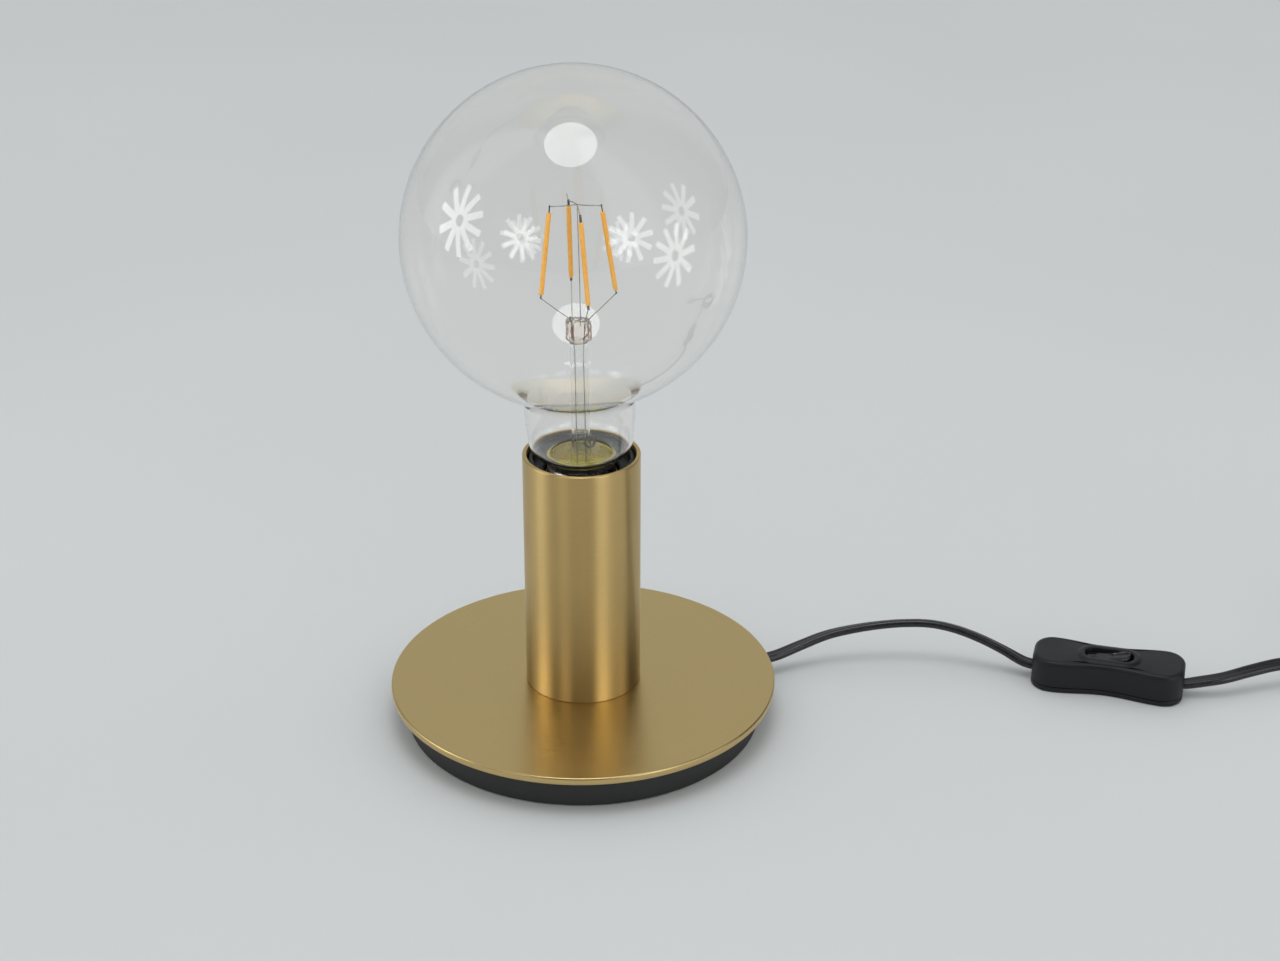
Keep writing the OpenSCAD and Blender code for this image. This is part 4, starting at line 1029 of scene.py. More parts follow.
@dataclass
class Assembly:
    """Pieces of one part of the lamp. `parts` holds each piece's make method and its finishes."""

    parts: ClassVar[Sequence[Sequence[object]]] = ()
    pieces: list[Item] = field(default_factory=list)

    def build(self) -> None:
        """Makes the pieces."""
        self.pieces = [make(self) for make, *_ in self.parts]

    def dress(self) -> None:
        """Puts the finishes on them."""
        for item, (_, *finishes) in zip(self.pieces, self.parts):
            WARDROBE.dress(item, *finishes)


@dataclass
class Foot(Assembly):
    """Brass disc, black housing and the bush for the cord."""

    plate_r: float = 75.0
    plate_z: float = 13.0
    plate_t: float = 3.0
    edge: float = 0.8
    housing_r: float = 69.0
    wall: float = 2.5
    low: float = 0.5
    bearing: float = 21.0
    bush_z: float = 7.0

    def make_plate(self) -> Item:
        """The disc, its rim rounded above and below.

        Returns:
            The piece.
        """
        r, e, z0, z1 = self.plate_r, self.edge, self.plate_z, self.plate_z + self.plate_t
        profile = ([(0, z0), (r - e - 1.5, z0), (r - e - 0.3, z0)] + arc(r - e, z0 + e, e, -90, 0, 8)
                   + arc(r - e, z1 - e, e, 0, 90, 8) + [(r - e - 0.3, z1), (r - e - 1.5, z1), (40, z1), (0, z1)])
        return piece(revolve(profile, 256), "top_disc", "base", "top_plate")

    def make_housing(self) -> Item:
        """The pressed cup under the disc, open below.

        Returns:
            The piece.
        """
        r, z, top = self.housing_r, self.low, self.plate_z
        inner = r - self.wall
        profile = (arc(r - 0.5, z + 0.5, 0.5, -90, 0, 4) + [(r, z + 1.2), (r, top - 2.2)]
                   + arc(r - 1.5, top - 1.5, 1.5, 0, 90, 8) + [(r - 2.2, top), (6, top), (6, top - 2)]
                   + [(inner - 1.2, top - 2)] + arc(inner - 1, top - 3, 1, 90, 0, 4) + [(inner, z + 0.8)]
                   + arc(inner + 0.4, z + 0.4, 0.4, 180, 270, 3))
        return piece(revolve(profile, 224), "foot_cup", "base", "foot_housing")

    def make_bush(self) -> Item:
        """The tapered bush round the cord, its mouth flat like the cord and its shank ringed.

        Returns:
            The piece.
        """
        stations = [(56.5, 3.0), (56.7, 3.2), (64.2, 3.35), (64.5, 3.9), (66.2, 3.9), (66.3, 3.4), (69.0, 3.4),
                    (69.05, 3.7), (69.3, 3.9), (70.4, 3.9), (70.7, 3.75), (71.4, 3.7), (71.7, 3.8), (72.6, 3.75),
                    (72.9, 3.6), (73.6, 3.55), (73.9, 3.65), (74.8, 3.6), (75.1, 3.45), (75.8, 3.4), (76.2, 3.4),
                    (76.8, 3.3), (77.0, 3.05)]
        hole = oblong(5.7, 3.5, 1.7)
        round_one = [(x / 3.9, y / 3.9) for x, y in oblong(7.8, 7.8, 3.8)]
        rings = [upright([(u * r, v * r) for u, v in round_one], x) for x, r in stations]
        rings = [upright(hole, 56.5), *rings, *(upright(hole, x) for x in (77.0, 76.6, 56.5))]
        place = placed(z=self.bush_z, turn=self.bearing)
        return piece(skin(rings, closed=False), "cord_bush", "base", "cord_relief", place)

    parts = (make_plate, BRASS_DISC), (make_housing, BLACK_PAINT), (make_bush, RELIEF_PLASTIC)


@dataclass
class Column(Assembly):
    """Brass tube and the lampholder's skirt in its mouth."""

    tube_r: float = 22.25
    tube_wall: float = 1.6
    low: float = 16.0
    high: float = 112.0
    holder_r: float = 19.9
    holder_wall: float = 1.6
    holder_low: float = 70.0
    holder_high: float = 110.5
    lip_r: float = 14.2
    lip_z: float = 105.0

    def make_tube(self) -> Item:
        """The tube, with a fine chamfer at its foot and rounded lips at its mouth. Its inner wall takes a dark brass,
        painted shade for the shade inside the tube.

        Returns:
            The piece.
        """
        r, inner, z0, z1 = self.tube_r, self.tube_r - self.tube_wall, self.low, self.high
        profile = ([(inner, z0 + 0.1), (r - 0.3, z0), (r, z0 + 0.3), (r, z0 + 1), (r, z1 - 1.4)]
                   + arc(r - 0.4, z1 - 0.4, 0.4, 0, 90, 6) + arc(inner + 0.3, z1 - 0.3, 0.3, 90, 180, 5)
                   + [(inner, z1 - 1.4)])
        bm = revolve(profile, 256)
        for face in bm.faces:
            # The inner wall's faces take the second finish, a darker brass that paints the shade inside the tube.
            face.material_index = int(all(math.hypot(v.co.x, v.co.y) < inner + 0.2 for v in face.verts))
        return piece(bm, "tube", "base", "column_tube")

    def make_skirt(self) -> Item:
        """The holder's upper shell: smooth outside, a rounded rim, and the lip over the contact shell.

        Returns:
            The piece.
        """
        r, inner, z0, z1 = self.holder_r, self.holder_r - self.holder_wall, self.holder_low, self.holder_high
        profile = ([(inner, z0), (r, z0), (r, z0 + 0.5), (r, z1 - 1.2)] + arc(r - 0.5, z1 - 0.5, 0.5, 0, 90, 5)
                   + arc(inner + 0.5, z1 - 0.5, 0.5, 90, 180, 5)
                   + [(inner, self.lip_z + 2.3), (inner - 0.3, self.lip_z + 2), (self.lip_r + 0.5, self.lip_z + 1.6),
                      (self.lip_r, self.lip_z + 1.2), (self.lip_r, self.lip_z), (inner, self.lip_z)])
        return piece(revolve(profile, 160), "holder_skirt", "base", "holder_upper_shell")

    parts = (make_tube, BRASS_TUBE, BRASS_INSIDE_PAINTED_SHADE), (make_skirt, HOLDER_PLASTIC)


@dataclass
class Bulb(Assembly):
    """Globe, stem, filament cage and screw cap."""

    cap_top: float = 111.2
    cap_h: float = 27.0
    cap_r: float = 13.0
    pitch: float = 3.62857
    globe_r: float = 62.5
    length: float = 174.98
    glass: float = 0.6
    neck_glass: float = 1.1
    lean: float = 1.5
    mount_lean: float = 0.8
    neck_r: float = 19.6
    neck_top_r: float = 20.7
    shoulder: float = 6.2
    flare: float = 6.0
    foot_r: float = 12.35
    stem_r: float = 3.4
    stem_wall: float = 0.5
    stem_bend: float = 3.4
    hole_place: Sequence[float] = (3.2, -3.4, 6.8)
    hole_r: float = 1.75
    hole_edge: float = 0.5
    lid_z: float = -5.3
    pinch_z: float = 45.2
    pinch_h: float = 9.6
    filament_l: float = 30.0
    filament_r: float = 0.9
    top_r: float = 9.6
    low_r: float = 13.8
    low_z: float = 65.28
    low_place: Sequence[Flat] = ((1, 0.09), (-0.2, 1.07), (-0.95, -0.22), (0.3, -1.01))
    top_place: Sequence[Flat] = ((0.99, 0.27), (-0.29, 0.96), (-1.01, 0.33), (0.21, -0.89))
    wire_foot: Sequence[Flat] = ((4, -0.6), (-2.2, 0.9), (-2.8, -0.9), (2.6, -1.2))
    low_tab: float = 1.5
    top_tab: float = 2.7
    wire_r: float = 0.19
    filaments: list[Item] = field(default_factory=list)

    def leaning(self, angle: float) -> Matrix:
        """Place of what leans in the cap, towards -X."""
        return placed(z=self.cap_top, turn=-angle, axis="Y")

    def wall(self, low: float, high: float) -> list[Flat]:
        """The glass outline, drawn in: shoulder, neck, flare and globe in one smooth line.

        Args:
            low: how far it is drawn in up to the flare.
            high: how far it is drawn in at the globe.

        Returns:
            The line's points.
        """
        centre = self.length - self.cap_h - self.globe_r
        rs, rf, rg = self.shoulder - low, self.flare + low, self.globe_r - high
        nr, nt = self.neck_r - low, self.neck_top_r - low
        fx = nt + rf
        fz = centre - math.sqrt((rg + rf) ** 2 - fx ** 2)
        fa = math.degrees(math.atan2(centre - fz, -fx))
        return (arc(nr - rs, 0.5 + self.shoulder, rs, -90, 0, 14)
                + [(nr + 0.25, 9.5), (nt - 0.45, 13), (nt - 0.2, 16)]
                + arc(fx, fz, rf, 180, fa, 14) + arc(0, centre, rg, fa - 180, 90, 110)[1:])

    def make_envelope(self) -> Item:
        """The blown glass, one wall with an open foot sealed into the cap.

        Returns:
            The piece.
        """
        outer, inner = self.wall(0.0, 0.0), self.wall(self.neck_glass, self.glass)
        r = self.foot_r
        rim = [(r, 0.5), (r, -0.4), (r - 0.3, -0.5), (r - 0.6, -0.4), (r - 0.6, 1.5)]
        profile = [(0.0, outer[-1][1]), *reversed(outer[:-1]), *rim, *inner[:-1], (0.0, inner[-1][1])]
        return piece(revolve(profile, 160), "globe", "bulb", "glass_envelope", self.leaning(self.lean), 60)

    def make_stem(self) -> Item:
        """Flared foot and hollow stem, and the crinkled pinch that grips the wires.

        Returns:
            The piece.
        """
        r, t, bend, foot = self.stem_r, self.stem_wall, self.stem_bend, self.lid_z
        outside = (arc(r + 0.8 + bend, foot + bend, bend, -90, -180, 18)
                   + [(r + 0.3, foot + 9), (r, 14), (r, 40), (r - 0.1, self.pinch_z + 0.6)])
        inside = ([(r - t - 0.3, self.pinch_z + 0.6), (r - t, 40), (r - t, 14), (r + 0.3 - t, foot + 9)]
                  + arc(r + 0.8 + bend, foot + bend, bend + t, -180, -90, 18))
        bm = revolve(outside + inside, 72)
        tube_faces = len(bm.faces)
        # The hole's rim is a torus in the third finish, a dark glass that paints the rim's dark ring as painted shade.
        hole = revolve([(self.hole_r + x, z) for x, z in circle(self.hole_edge, 16)], 40)
        hole.transform(Matrix.Translation(self.hole_place) @ Matrix.Rotation(1.2, 4, "X"))
        join(bm, hole)
        hole_faces = len(bm.faces)
        lump = bmesh.new()
        bmesh.ops.create_icosphere(lump, subdivisions=5, radius=1.0)
        for vert in lump.verts:
            p = vert.co.copy()
            shape = Vector([math.copysign(abs(c) ** 0.5, c) for c in p])
            crinkle = 0.14 * noise.noise(p * 2.6) + 0.16 * noise.noise(p * 6.3) + 0.09 * noise.noise(p * 14.0)
            neck = 1 - 0.25 * max(0.0, -p.z) ** 3
            scale = Vector((4.5 * neck, 2.0, 4.8)) * (1 + crinkle)
            vert.co = Vector((shape.x * scale.x, shape.y * scale.y, shape.z * scale.z)) \
                + Vector((0, 0, self.pinch_z + self.pinch_h / 2))
        join(bm, lump)
        mark(bm, tube_faces, 2)
        mark(bm, hole_faces)
        return piece(bm, "stem", "bulb", "glass_stem", self.leaning(self.mount_lean), 60)

    def ends(self, k: int) -> tuple[Vector, Vector]:
        """Lower and upper end of filament k. All are one length, and each stands a little differently.

        Args:
            k: the filament's number, from 0.

        Returns:
            Its lower and its upper end.
        """
        low, high = Vector((*self.low_place[k], 0)) * self.low_r, Vector((*self.top_place[k], 0)) * self.top_r
        rise = math.sqrt(self.filament_l ** 2 - (high - low).length_squared)
        return low + Vector((0, 0, self.low_z)), high + Vector((0, 0, self.low_z + rise))

    def make_filament(self, k: int) -> Item:
        """One filament: a round amber coat with a dark flat tab at each end.

        Args:
            k: the filament's number, from 0.

        Returns:
            The piece.
        """
        low, high = self.ends(k)
        length, r = self.filament_l, self.filament_r
        profile = ([(0, 0)] + arc(r - 0.45, 0.45, 0.45, -90, 0, 5) + [(r, 4), (r, 15), (r, 26)]
                   + arc(r - 0.45, length - 0.45, 0.45, 0, 90, 5) + [(0, length)])
        bm = revolve(profile, 24)
        coat = len(bm.faces)
        for z0, z1 in ((-self.low_tab, 0.4), (length - 0.4, length + self.top_tab)):
            block = skin([lift(((0.42, -0.2), (0.42, 0.2), (-0.42, 0.2), (-0.42, -0.2)), z) for z in (z0, z1)])
            bmesh.ops.bevel(block, geom=list(block.edges), offset=0.08, segments=2, profile=0.5, affect="EDGES",
                            material=-1)
            join(bm, block)
        mark(bm, coat)
        along = (high - low).normalized()
        side = along.cross(Vector((low.x, low.y, 0))).normalized()
        turn = Matrix((side, along.cross(side), along)).transposed().to_4x4()
        place = self.leaning(self.mount_lean) @ Matrix.Translation(low) @ turn
        return piece(bm, f"filament_{k + 1}_lit", "bulb", f"filament_{k + 1}", place, 40)

    def make_leads(self) -> Item:
        """Wires from the pinch to the lower tabs, their reddish seals, and the supply wires in the stem.

        Returns:
            The piece.
        """
        top = self.pinch_z + self.pinch_h
        bm = bmesh.new()
        for k, (x, y) in enumerate(self.wire_foot):
            low, high = self.ends(k)
            tip = low - (high - low).normalized() * (self.low_tab - 0.3)
            start = Vector((x, y, top - 0.2))
            over = (tip - start).normalized() * 0.5
            wire([(x * 0.9, y * 0.5, top - 3), start, start.lerp(tip, 0.4), start.lerp(tip, 0.8), tip + over],
                 5, self.wire_r, bm)
        for s in (-1, 1):
            wire([(s * 1.65, 0, -8.2), (s * 1.65, 0, 20), (s * 1.6, 0.1, 40), (s * 1.9, 0.1, 47)],
                 5, self.wire_r, bm)
        plain = len(bm.faces)
        for x, y in self.wire_foot:
            wire([(math.copysign(1.9, x), 0.1, self.pinch_z + 1.5), (x * 0.85, y * 0.3, self.pinch_z + 4),
                  (x * 0.9, y * 0.5, top - 2.6)], 5, self.wire_r * 1.5, bm)
        mark(bm, plain)
        return piece(bm, "lead_wires_bent", "bulb", "lead_wires", self.leaning(self.mount_lean), 60)

    def make_top_wires(self) -> Item:
        """Centre post with its hook, and the cross wires to the upper tabs.

        Returns:
            The piece.
        """
        top = self.pinch_z + self.pinch_h
        knot = Vector((0.4, 3, self.ends(0)[1].z + 2.6))
        bm = bmesh.new()
        post = [(0.8, 0.4, top - 3), (0.8, 0.6, top), (0.75, 1.6, (top + knot.z) / 2)]
        hook = [(0.1, -0.2, -3), (0, 0, 0), (-1.2, 0.3, 0.5), (-2.6, 0.5, 1.2), (-3.3, 0.7, 2.4), (-3.6, 0.8, 3.8)]
        wire(post + [knot + Vector(step) for step in hook], 6, self.wire_r * 0.85, bm)
        for k in range(4):
            low, high = self.ends(k)
            tip = high + (high - low).normalized() * (self.top_tab - 0.5)
            middle = knot.lerp(tip, 0.5) + Vector((0, 0, 0.25 if k % 2 else -0.2))
            out = (tip - knot).normalized() * 0.4
            wire([knot - Vector((0, 0, 0.1)), middle, tip + out], 6, self.wire_r, bm)
        return piece(bm, "top_wires_bent", "bulb", "top_wires", self.leaning(self.mount_lean), 60)

    def make_cover(self) -> Item:
        """The uneven yellow-green disc over the driver.

        Returns:
            The piece.
        """
        r, top = self.cap_r - 0.9, self.lid_z
        profile = ([(0, top - 1.4), (r - 0.3, top - 1.4), (r, top - 1.1), (r, top - 0.3), (r - 0.3, top - 0.05)]
                   + [(x, top) for x in (11, 9.5, 8, 6.5, 5, 3.5, 2)] + [(0, top)])
        bm = revolve(profile, 72)
        for vert in bm.verts:
            if vert.co.z > top - 0.2:
                vert.co.z += 0.22 * noise.noise(vert.co * 0.22) + 0.06 * noise.noise(vert.co * 0.9)
        return piece(bm, "driver_lid", "bulb", "driver_cover", placed(z=self.cap_top), 50)

    def make_board(self) -> Item:
        """The round driver board with its low parts.

        Returns:
            The piece.
        """
        r, top = self.cap_r - 1.0, -8.3
        bm = revolve([(0, top - 1.2), (r, top - 1.2), (r, top), (0, top)], 64)
        for x, y, dx, dy, dz in ((-6.5, 0, 5, 6, 1.3), (3.5, 3.5, 3.2, 1.6, 0.9), (3.5, -3.5, 3.2, 1.6, 0.9),
                                 (7.6, 0, 2, 4.5, 0.6), (-1.5, 7.6, 3, 1.5, 1.2), (-1.5, -7.6, 3, 1.5, 1.2)):
            box = bmesh.ops.create_cube(bm, size=1.0)["verts"]
            bmesh.ops.scale(bm, vec=(dx, dy, dz), verts=box)
            bmesh.ops.translate(bm, vec=(x, y, top + dz / 2), verts=box)
        return piece(bm, "board_and_parts", "bulb", "driver_board", placed(z=self.cap_top), 30)

    def make_cap(self) -> Item:
        """The screw cap: plain collar, rolled thread that fades at both ends, and the crimped lower rim.

        Returns:
            The piece.
        """
        r, root, steps = self.cap_r, self.cap_r - 0.85, 48
        low, high = -19.6, -2.6
        thread = bmesh.new()
        wave = 12
        rows = [thread.verts.new((1, 0, self.pitch * i / wave)) for i in range(wave + 1)]
        links = [thread.edges.new(pair) for pair in zip(rows, rows[1:])]
        turns = (high - low) / self.pitch - 1
        bmesh.ops.spin(thread, geom=rows + links, cent=(0, 0, 0), axis=(0, 0, 1), angle=math.tau * turns,
                       dvec=(0, 0, self.pitch / steps), steps=round(steps * turns), use_merge=False)
        bmesh.ops.remove_doubles(thread, verts=thread.verts, dist=1e-3)
        for vert in thread.verts:
            a, z = math.atan2(vert.co.y, vert.co.x), vert.co.z
            phase = (z / self.pitch - a / math.tau) % 1.0
            fade = min(1.0, max(0.0, z / 1.8), max(0.0, (high - low - z) / 1.8))
            reach = root + (r - root) * fade * (0.5 - 0.5 * math.cos(math.tau * phase)) ** 0.8
            vert.co = Vector((reach * math.cos(a), reach * math.sin(a), z + low))
        core = [(root - 0.35, 0), (r, 0), (r, -0.4), (r, -2.2), (r - 0.15, -2.5), (root, -2.9), (root, -19.4),
                (root - 0.1, -20), (11.3, -22.0), (11.0, -22.5), (10.5, -22.5), (root - 0.4, -19.6)]
        revolve(core, 96, thread)
        for face in thread.faces:
            face.material_index = int(all(v.co.z > -0.5 for v in face.verts))
        return piece(thread, "screw_cap", "bulb", "cap_shell", placed(z=self.cap_top), 40)

    def make_insulator(self) -> Item:
        """The black glassy foot of the cap.

        Returns:
            The piece.
        """
        profile = [(0, 1.5), (5.0, 1.3), (5.4, 1.1), (5.9, 1.25), (9.6, 3.1), (10.2, 3.6), (10.4, 4.0), (10.4, 4.5),
                   (0, 4.5)]
        place = placed(z=self.cap_top - self.cap_h)
        return piece(revolve(profile, 96), "cap_foot", "bulb", "cap_insulator", place, 40)

    def make_contact(self) -> Item:
        """The tip contact: a pressed disc with a low solder dome.

        Returns:
            The piece.
        """
        profile = ([(0, 0), (2.2, 0.02), (2.9, 0.12), (3.3, 0.1)] + arc(4.1, 0.75, 0.7, -80, 0, 5)
                   + [(4.8, 1.0), (4.5, 1.15), (0, 1.4)])
        place = placed(z=self.cap_top - self.cap_h)
        return piece(revolve(profile, 64), "cap_tip", "bulb_tip", "cap_contact", place, 40)

    parts = ((make_envelope, GLOBE_GLASS), (make_stem, STEM_GLASS, PINCH_GLASS, HOLE_RIM_PAINTED_DARK), (make_leads, WIRE, SEAL),
             (make_top_wires, WIRE), (make_cover, RESIN), (make_board, BOARD), (make_cap, CAP_METAL, RESIN),
             (make_insulator, CAP_BLACK), (make_contact, CAP_METAL))

    def build(self) -> None:
        """Makes the pieces, and the filaments last."""
        super().build()
        self.filaments = [self.make_filament(k) for k in range(len(self.low_place))]

    def dress(self) -> None:
        """Puts the finishes on them."""
        super().dress()
        for item in self.filaments:
            WARDROBE.dress(item, AMBER, TAB)


@dataclass
class Switch(Assembly):
    """The in-line switch: waisted shells, collar and rocker. `inside` names the CAD nodes that stay in it."""

    inside: ClassVar[Sequence[str]] = (
        "switch_screws", "rocker_pin", "rocker_plunger", "seesaw_contact", "seesaw_post",
        "switch_terminals", "switch_grips", "neutral_core", "line_cores")
    x: float = 210.2
    y: float = 19.5
    yaw: float = -14.5
    length: float = 60.0
    width: float = 23.0
    height: float = 13.6
    corner: float = 8.0
    waist: float = 2.6
    edge: float = 2.2
    split: float = 2.4
    collar: float = 0.8
    slot_l: float = 19.4
    slot_w: float = 8.4
    pivot_z: float = 9.0
    reach: float = 9.6
    rest: float = -8.0
    gap: float = 0.35

    @property
    def place(self) -> Matrix:
        """Where the switch lies."""
        return placed(self.x, self.y, turn=self.yaw)

    def outline(self, inset: float, z: float) -> list[Vector]:
        """The shell's outline, drawn in all round."""
        return lift(oblong(self.length - 2 * inset, self.width - 2 * inset, self.corner - inset, self.waist), z)

    def opening(self, grow: float, z: float) -> list[Vector]:
        """The rocker opening's outline, widened all round."""
        length, width = self.slot_l + 2 * grow, self.slot_w + 2 * grow
        return lift(oblong(length, width, width / 2 - 0.4), z)

    def make_upper(self) -> Item:
        """The upper shell, from the opening over the collar and down the sides to the split.

        Returns:
            The piece.
        """
        top, e, split = self.height, self.edge, self.split
        low, high = top - 1.8, top + self.collar
        rings = [self.opening(grow, z) for grow, z in (
            (0, low), (0, high - 0.35), (0.1, high - 0.1), (0.35, high), (1.3, high), (1.8, high - 0.07),
            (2.3, high - 0.26), (2.75, top + 0.24), (3.15, top + 0.07), (3.6, top))]
        rings += [self.outline(e + 0.7, top), self.outline(e + 0.25, top)]
        rings += [self.outline(e - x, top - e + z) for x, z in arc(0, 0, e, 90, 0, 8)]
        rings += [self.outline(inset, z) for inset, z in (
            (0, top - e - 0.6), (0, split + 0.8), (0, split + 0.3), (0.3, split + 0.05), (1.7, split + 0.05),
            (1.8, split + 0.6), (1.8, top - 2.4), (2.4, low))]
        rings += [self.opening(1.5, low), self.opening(0, low)]
        return piece(skin(rings, closed=False), "switch_top", "base", "switch_upper_shell", self.place, 50)

    def make_lower(self) -> Item:
        """The lower shell, a shallow tray that closes the switch.

        Returns:
            The piece.
        """
        split = self.split
        sides = [(1.6, split), (0.35, split), (0.05, split - 0.25), (0.0, split - 0.6), (0.0, 1.1)]
        rings = [self.outline(inset, z) for inset, z in sides]
        rings += [self.outline(0.9 - x, 0.9 - z) for x, z in arc(0, 0, 0.9, 0, 90, 5)]
        rings.append(self.outline(1.6, 0.0))
        return piece(skin(rings), "switch_base", "base", "switch_lower_shell", self.place, 50)

    def crown(self, x: float, y: float, half: float) -> float:
        """Height of the rocker's top: a shallow vee, a ringed dish on one paddle and a bump on the other.

        Args:
            x: distance along the rocker.
            y: distance across it.
            half: half its width there.

        Returns:
            The height above the axle.
        """
        z = 4.3 + abs(x) * math.tan(math.radians(5)) * (1 if abs(x) > 1 else abs(x) * 0.5 + 0.5)
        near = 1 - abs(y) / max(half, 1e-6)
        end = self.slot_l / 2 - self.gap - abs(x)
        z -= 0.55 * max(0.0, 1 - near / 0.2) ** 2 + 0.5 * max(0.0, 1 - end / 1.2) ** 2
        along = max(0.0, abs(x - 4.9) - 1.9)
        ring = math.hypot(along, y)
        z += 0.3 * math.exp(-((ring - 2.1) / 0.42) ** 2) - 0.3 * (1 / (1 + math.exp((ring - 1.6) / 0.22)))
        return z + 0.35 * math.exp(-((x + 5.6) ** 2 + y * y) / 1.3)

    def make_rocker(self) -> Item:
        """The rocker, on its axle at its resting tilt.

        Returns:
            The piece.
        """
        length, width = self.slot_l - 2 * self.gap, self.slot_w - 2 * self.gap
        straight = (length - width) / 2
        gather = math.pi / 2 * 0.97
        bm = bmesh.new()
        bmesh.ops.create_grid(bm, x_segments=72, y_segments=28, size=1.0)
        for vert in bm.verts:
            x = math.sin(vert.co.x * gather) / math.sin(gather) * (length / 2 - 0.02)
            over = max(0.0, abs(x) - straight)
            half = math.sqrt(max((width / 2) ** 2 - over ** 2, 0.01))
            y = math.sin(vert.co.y * math.pi / 2) * half
            z = self.crown(x, y, half)
            end = self.reach - 0.14 * z
            vert.co = Vector((max(-end, min(end, x)), y, z))
        rim = [e for e in bm.edges if e.is_boundary]
        made = bmesh.ops.extrude_edge_only(bm, edges=rim)["geom"]
        for vert in (g for g in made if isinstance(g, bmesh.types.BMVert)):
            vert.co.z = 1.4
        bmesh.ops.holes_fill(bm, edges=[e for e in bm.edges if e.is_boundary], sides=0)
        place = self.place @ placed(z=self.pivot_z, turn=self.rest, axis="Y")
        return piece(bm, "rocker_key", "rocker", "rocker", place, 50)

    parts = (make_upper, SWITCH_PLASTIC), (make_lower, SWITCH_PLASTIC), (make_rocker, ROCKER_PLASTIC)


@dataclass
class Plug(Assembly):
    """The flat moulded plug with its ribbed sleeve, and the coil's tie."""

    x: float = 380.0
    y: float = -10.0
    z: float = 6.8
    sleeve_l: float = 22.0
    body_l: float = 36.0
    width: float = 26.0
    thick: float = 13.6
    pin_r: float = 2.0
    pin_pitch: float = 18.6
    pin_l: float = 19.0
    insulated: float = 10.0
    tie_x: float = 350.0
    tie_y: float = 90.0
    tie_z: float = 6.5

    @property
    def place(self) -> Matrix:
        """Where the plug lies: its own +X points to the pins."""
        return placed(self.x, self.y, self.z, -90)

    def make_body(self) -> Item:
        """The body: it widens from the sleeve, with a finger hollow on each face and a rounded nose.

        Returns:
            The piece.
        """
        s, n = self.sleeve_l, self.sleeve_l + self.body_l
        w, t = self.width, self.thick
        stations = [(s, 9.4, 8.8, 4.0), (s + 0.5, 10.4, 9.6, 4.4), (s + 3, 12.4, 10.4, 4.6), (s + 8, 16.2, 11.3, 4.6),
                    (s + 13, 20.0, 12.0, 4.4), (s + 18, 23.3, 12.7, 4.0), (s + 22, 25.0, 13.3, 3.6),
                    (s + 26, 25.6, 13.6, 3.2), (n - 4, 26.0, 13.6, 3.0), (n - 1.2, 26.0, 13.6, 2.8),
                    (n - 0.35, w - 0.5, t - 0.5, 2.6), (n, w - 1.8, t - 1.8, 2.2), (n, w - 4, t - 4, 1.4)]
        bm = skin([upright(oblong(*sizes), x) for x, *sizes in stations])
        for vert in bm.verts:
            dx, dy = (vert.co.x - s - 14) / 8.5, vert.co.y / 6.5
            if abs(vert.co.z) > 3:
                vert.co.z -= math.copysign(0.55 * math.exp(-(dx * dx + dy * dy) ** 1.5), vert.co.z)
        return piece(bm, "plug_moulding", "base", "plug_body", self.place, 50)

    def make_sleeve(self) -> Item:
        """The bending sleeve behind the body, with five grooves.

        Returns:
            The piece.
        """
        profile: list[Flat] = [(0, 0), (3.1, 0), (3.45, 0.3)]
        for k in range(5):
            x = 2.4 + 3.9 * k
            r = 3.6 + 1.4 * x / self.sleeve_l
            profile += [(r - 0.1, x), (r, x + 0.3), (r + 0.05, x + 1.9), (r - 0.1, x + 2.2), (r - 0.8, x + 2.5),
                        (r - 0.75, x + 3.5)]
        profile += [(4.95, 21.9), (4.95, self.sleeve_l + 0.6), (0, self.sleeve_l + 0.6)]
        place = self.place @ placed(turn=90, axis="Y")
        return piece(revolve(profile, 56), "plug_sleeve", "base", "plug_relief", place, 40)

    def pair(self, profile: Sequence[Flat], name: str, node: str) -> Item:
        """The same turned piece at both pins.

        Args:
            profile: its outline.
            name: the piece's name.
            node: the CAD node that it stands for.

        Returns:
            The piece.
        """
        both = bmesh.new()
        for s in (-1, 1):
            part = revolve(profile, 32)
            part.transform(placed(self.sleeve_l + self.body_l, s * self.pin_pitch / 2, turn=90, axis="Y"))
            join(both, part)
        return piece(both, name, "base", node, self.place, 40)

    def make_pins(self) -> Item:
        """The two brass pins with round tips.

        Returns:
            The piece.
        """
        r, root, tip = self.pin_r, self.insulated, self.pin_l
        profile = ([(0, -2), (r - 0.35, -2), (r - 0.35, root), (r, root + 0.05), (r, tip - 1.6)]
                   + arc(r - 1.4, tip - 1.4, 1.4, 0, 90, 6) + [(0, tip)])
        return self.pair(profile, "plug_pins_turned", "plug_pins")

    def make_roots(self) -> Item:
        """The black sleeves at the pins' roots.

        Returns:
            The piece.
        """
        r, end = self.pin_r, self.insulated
        collar = [(r - 0.3, -1), (r, -1), (r, end - 0.15), (r - 0.15, end), (r - 0.3, end)]
        return self.pair(collar, "plug_pin_roots", "pin_sleeves")

    def make_tie(self) -> Item:
        """The band round the coil: two crisp edges and a soft bulge.

        Returns:
            The piece.
        """
        w, h = 18.7, 11.7
        rings = [upright(oblong(w + 2 * grow, h + 2 * grow, 1.4 + grow), x) for x, grow in (
            (-3, 0.1), (-3, 0.45), (-2.6, 0.58), (0, 0.62), (2.6, 0.58), (3, 0.45), (3, 0.1), (0, 0.02), (-3, 0.1))]
        place = placed(self.tie_x, self.tie_y, self.tie_z)
        return piece(skin(rings, closed=False), "coil_band", "base", "coil_tie", place, 50)

    parts = ((make_pins, CONTACT_BRASS), (make_roots, RELIEF_PLASTIC), (make_body, RELIEF_PLASTIC),
             (make_sleeve, RELIEF_PLASTIC), (make_tie, RELIEF_PLASTIC))


@dataclass(frozen=True)
class Station:
    """A point of the cord's route in millimetres, with the roll of its flat section in degrees."""

    x: float
    y: float
    z: float
    roll: float = 0.0


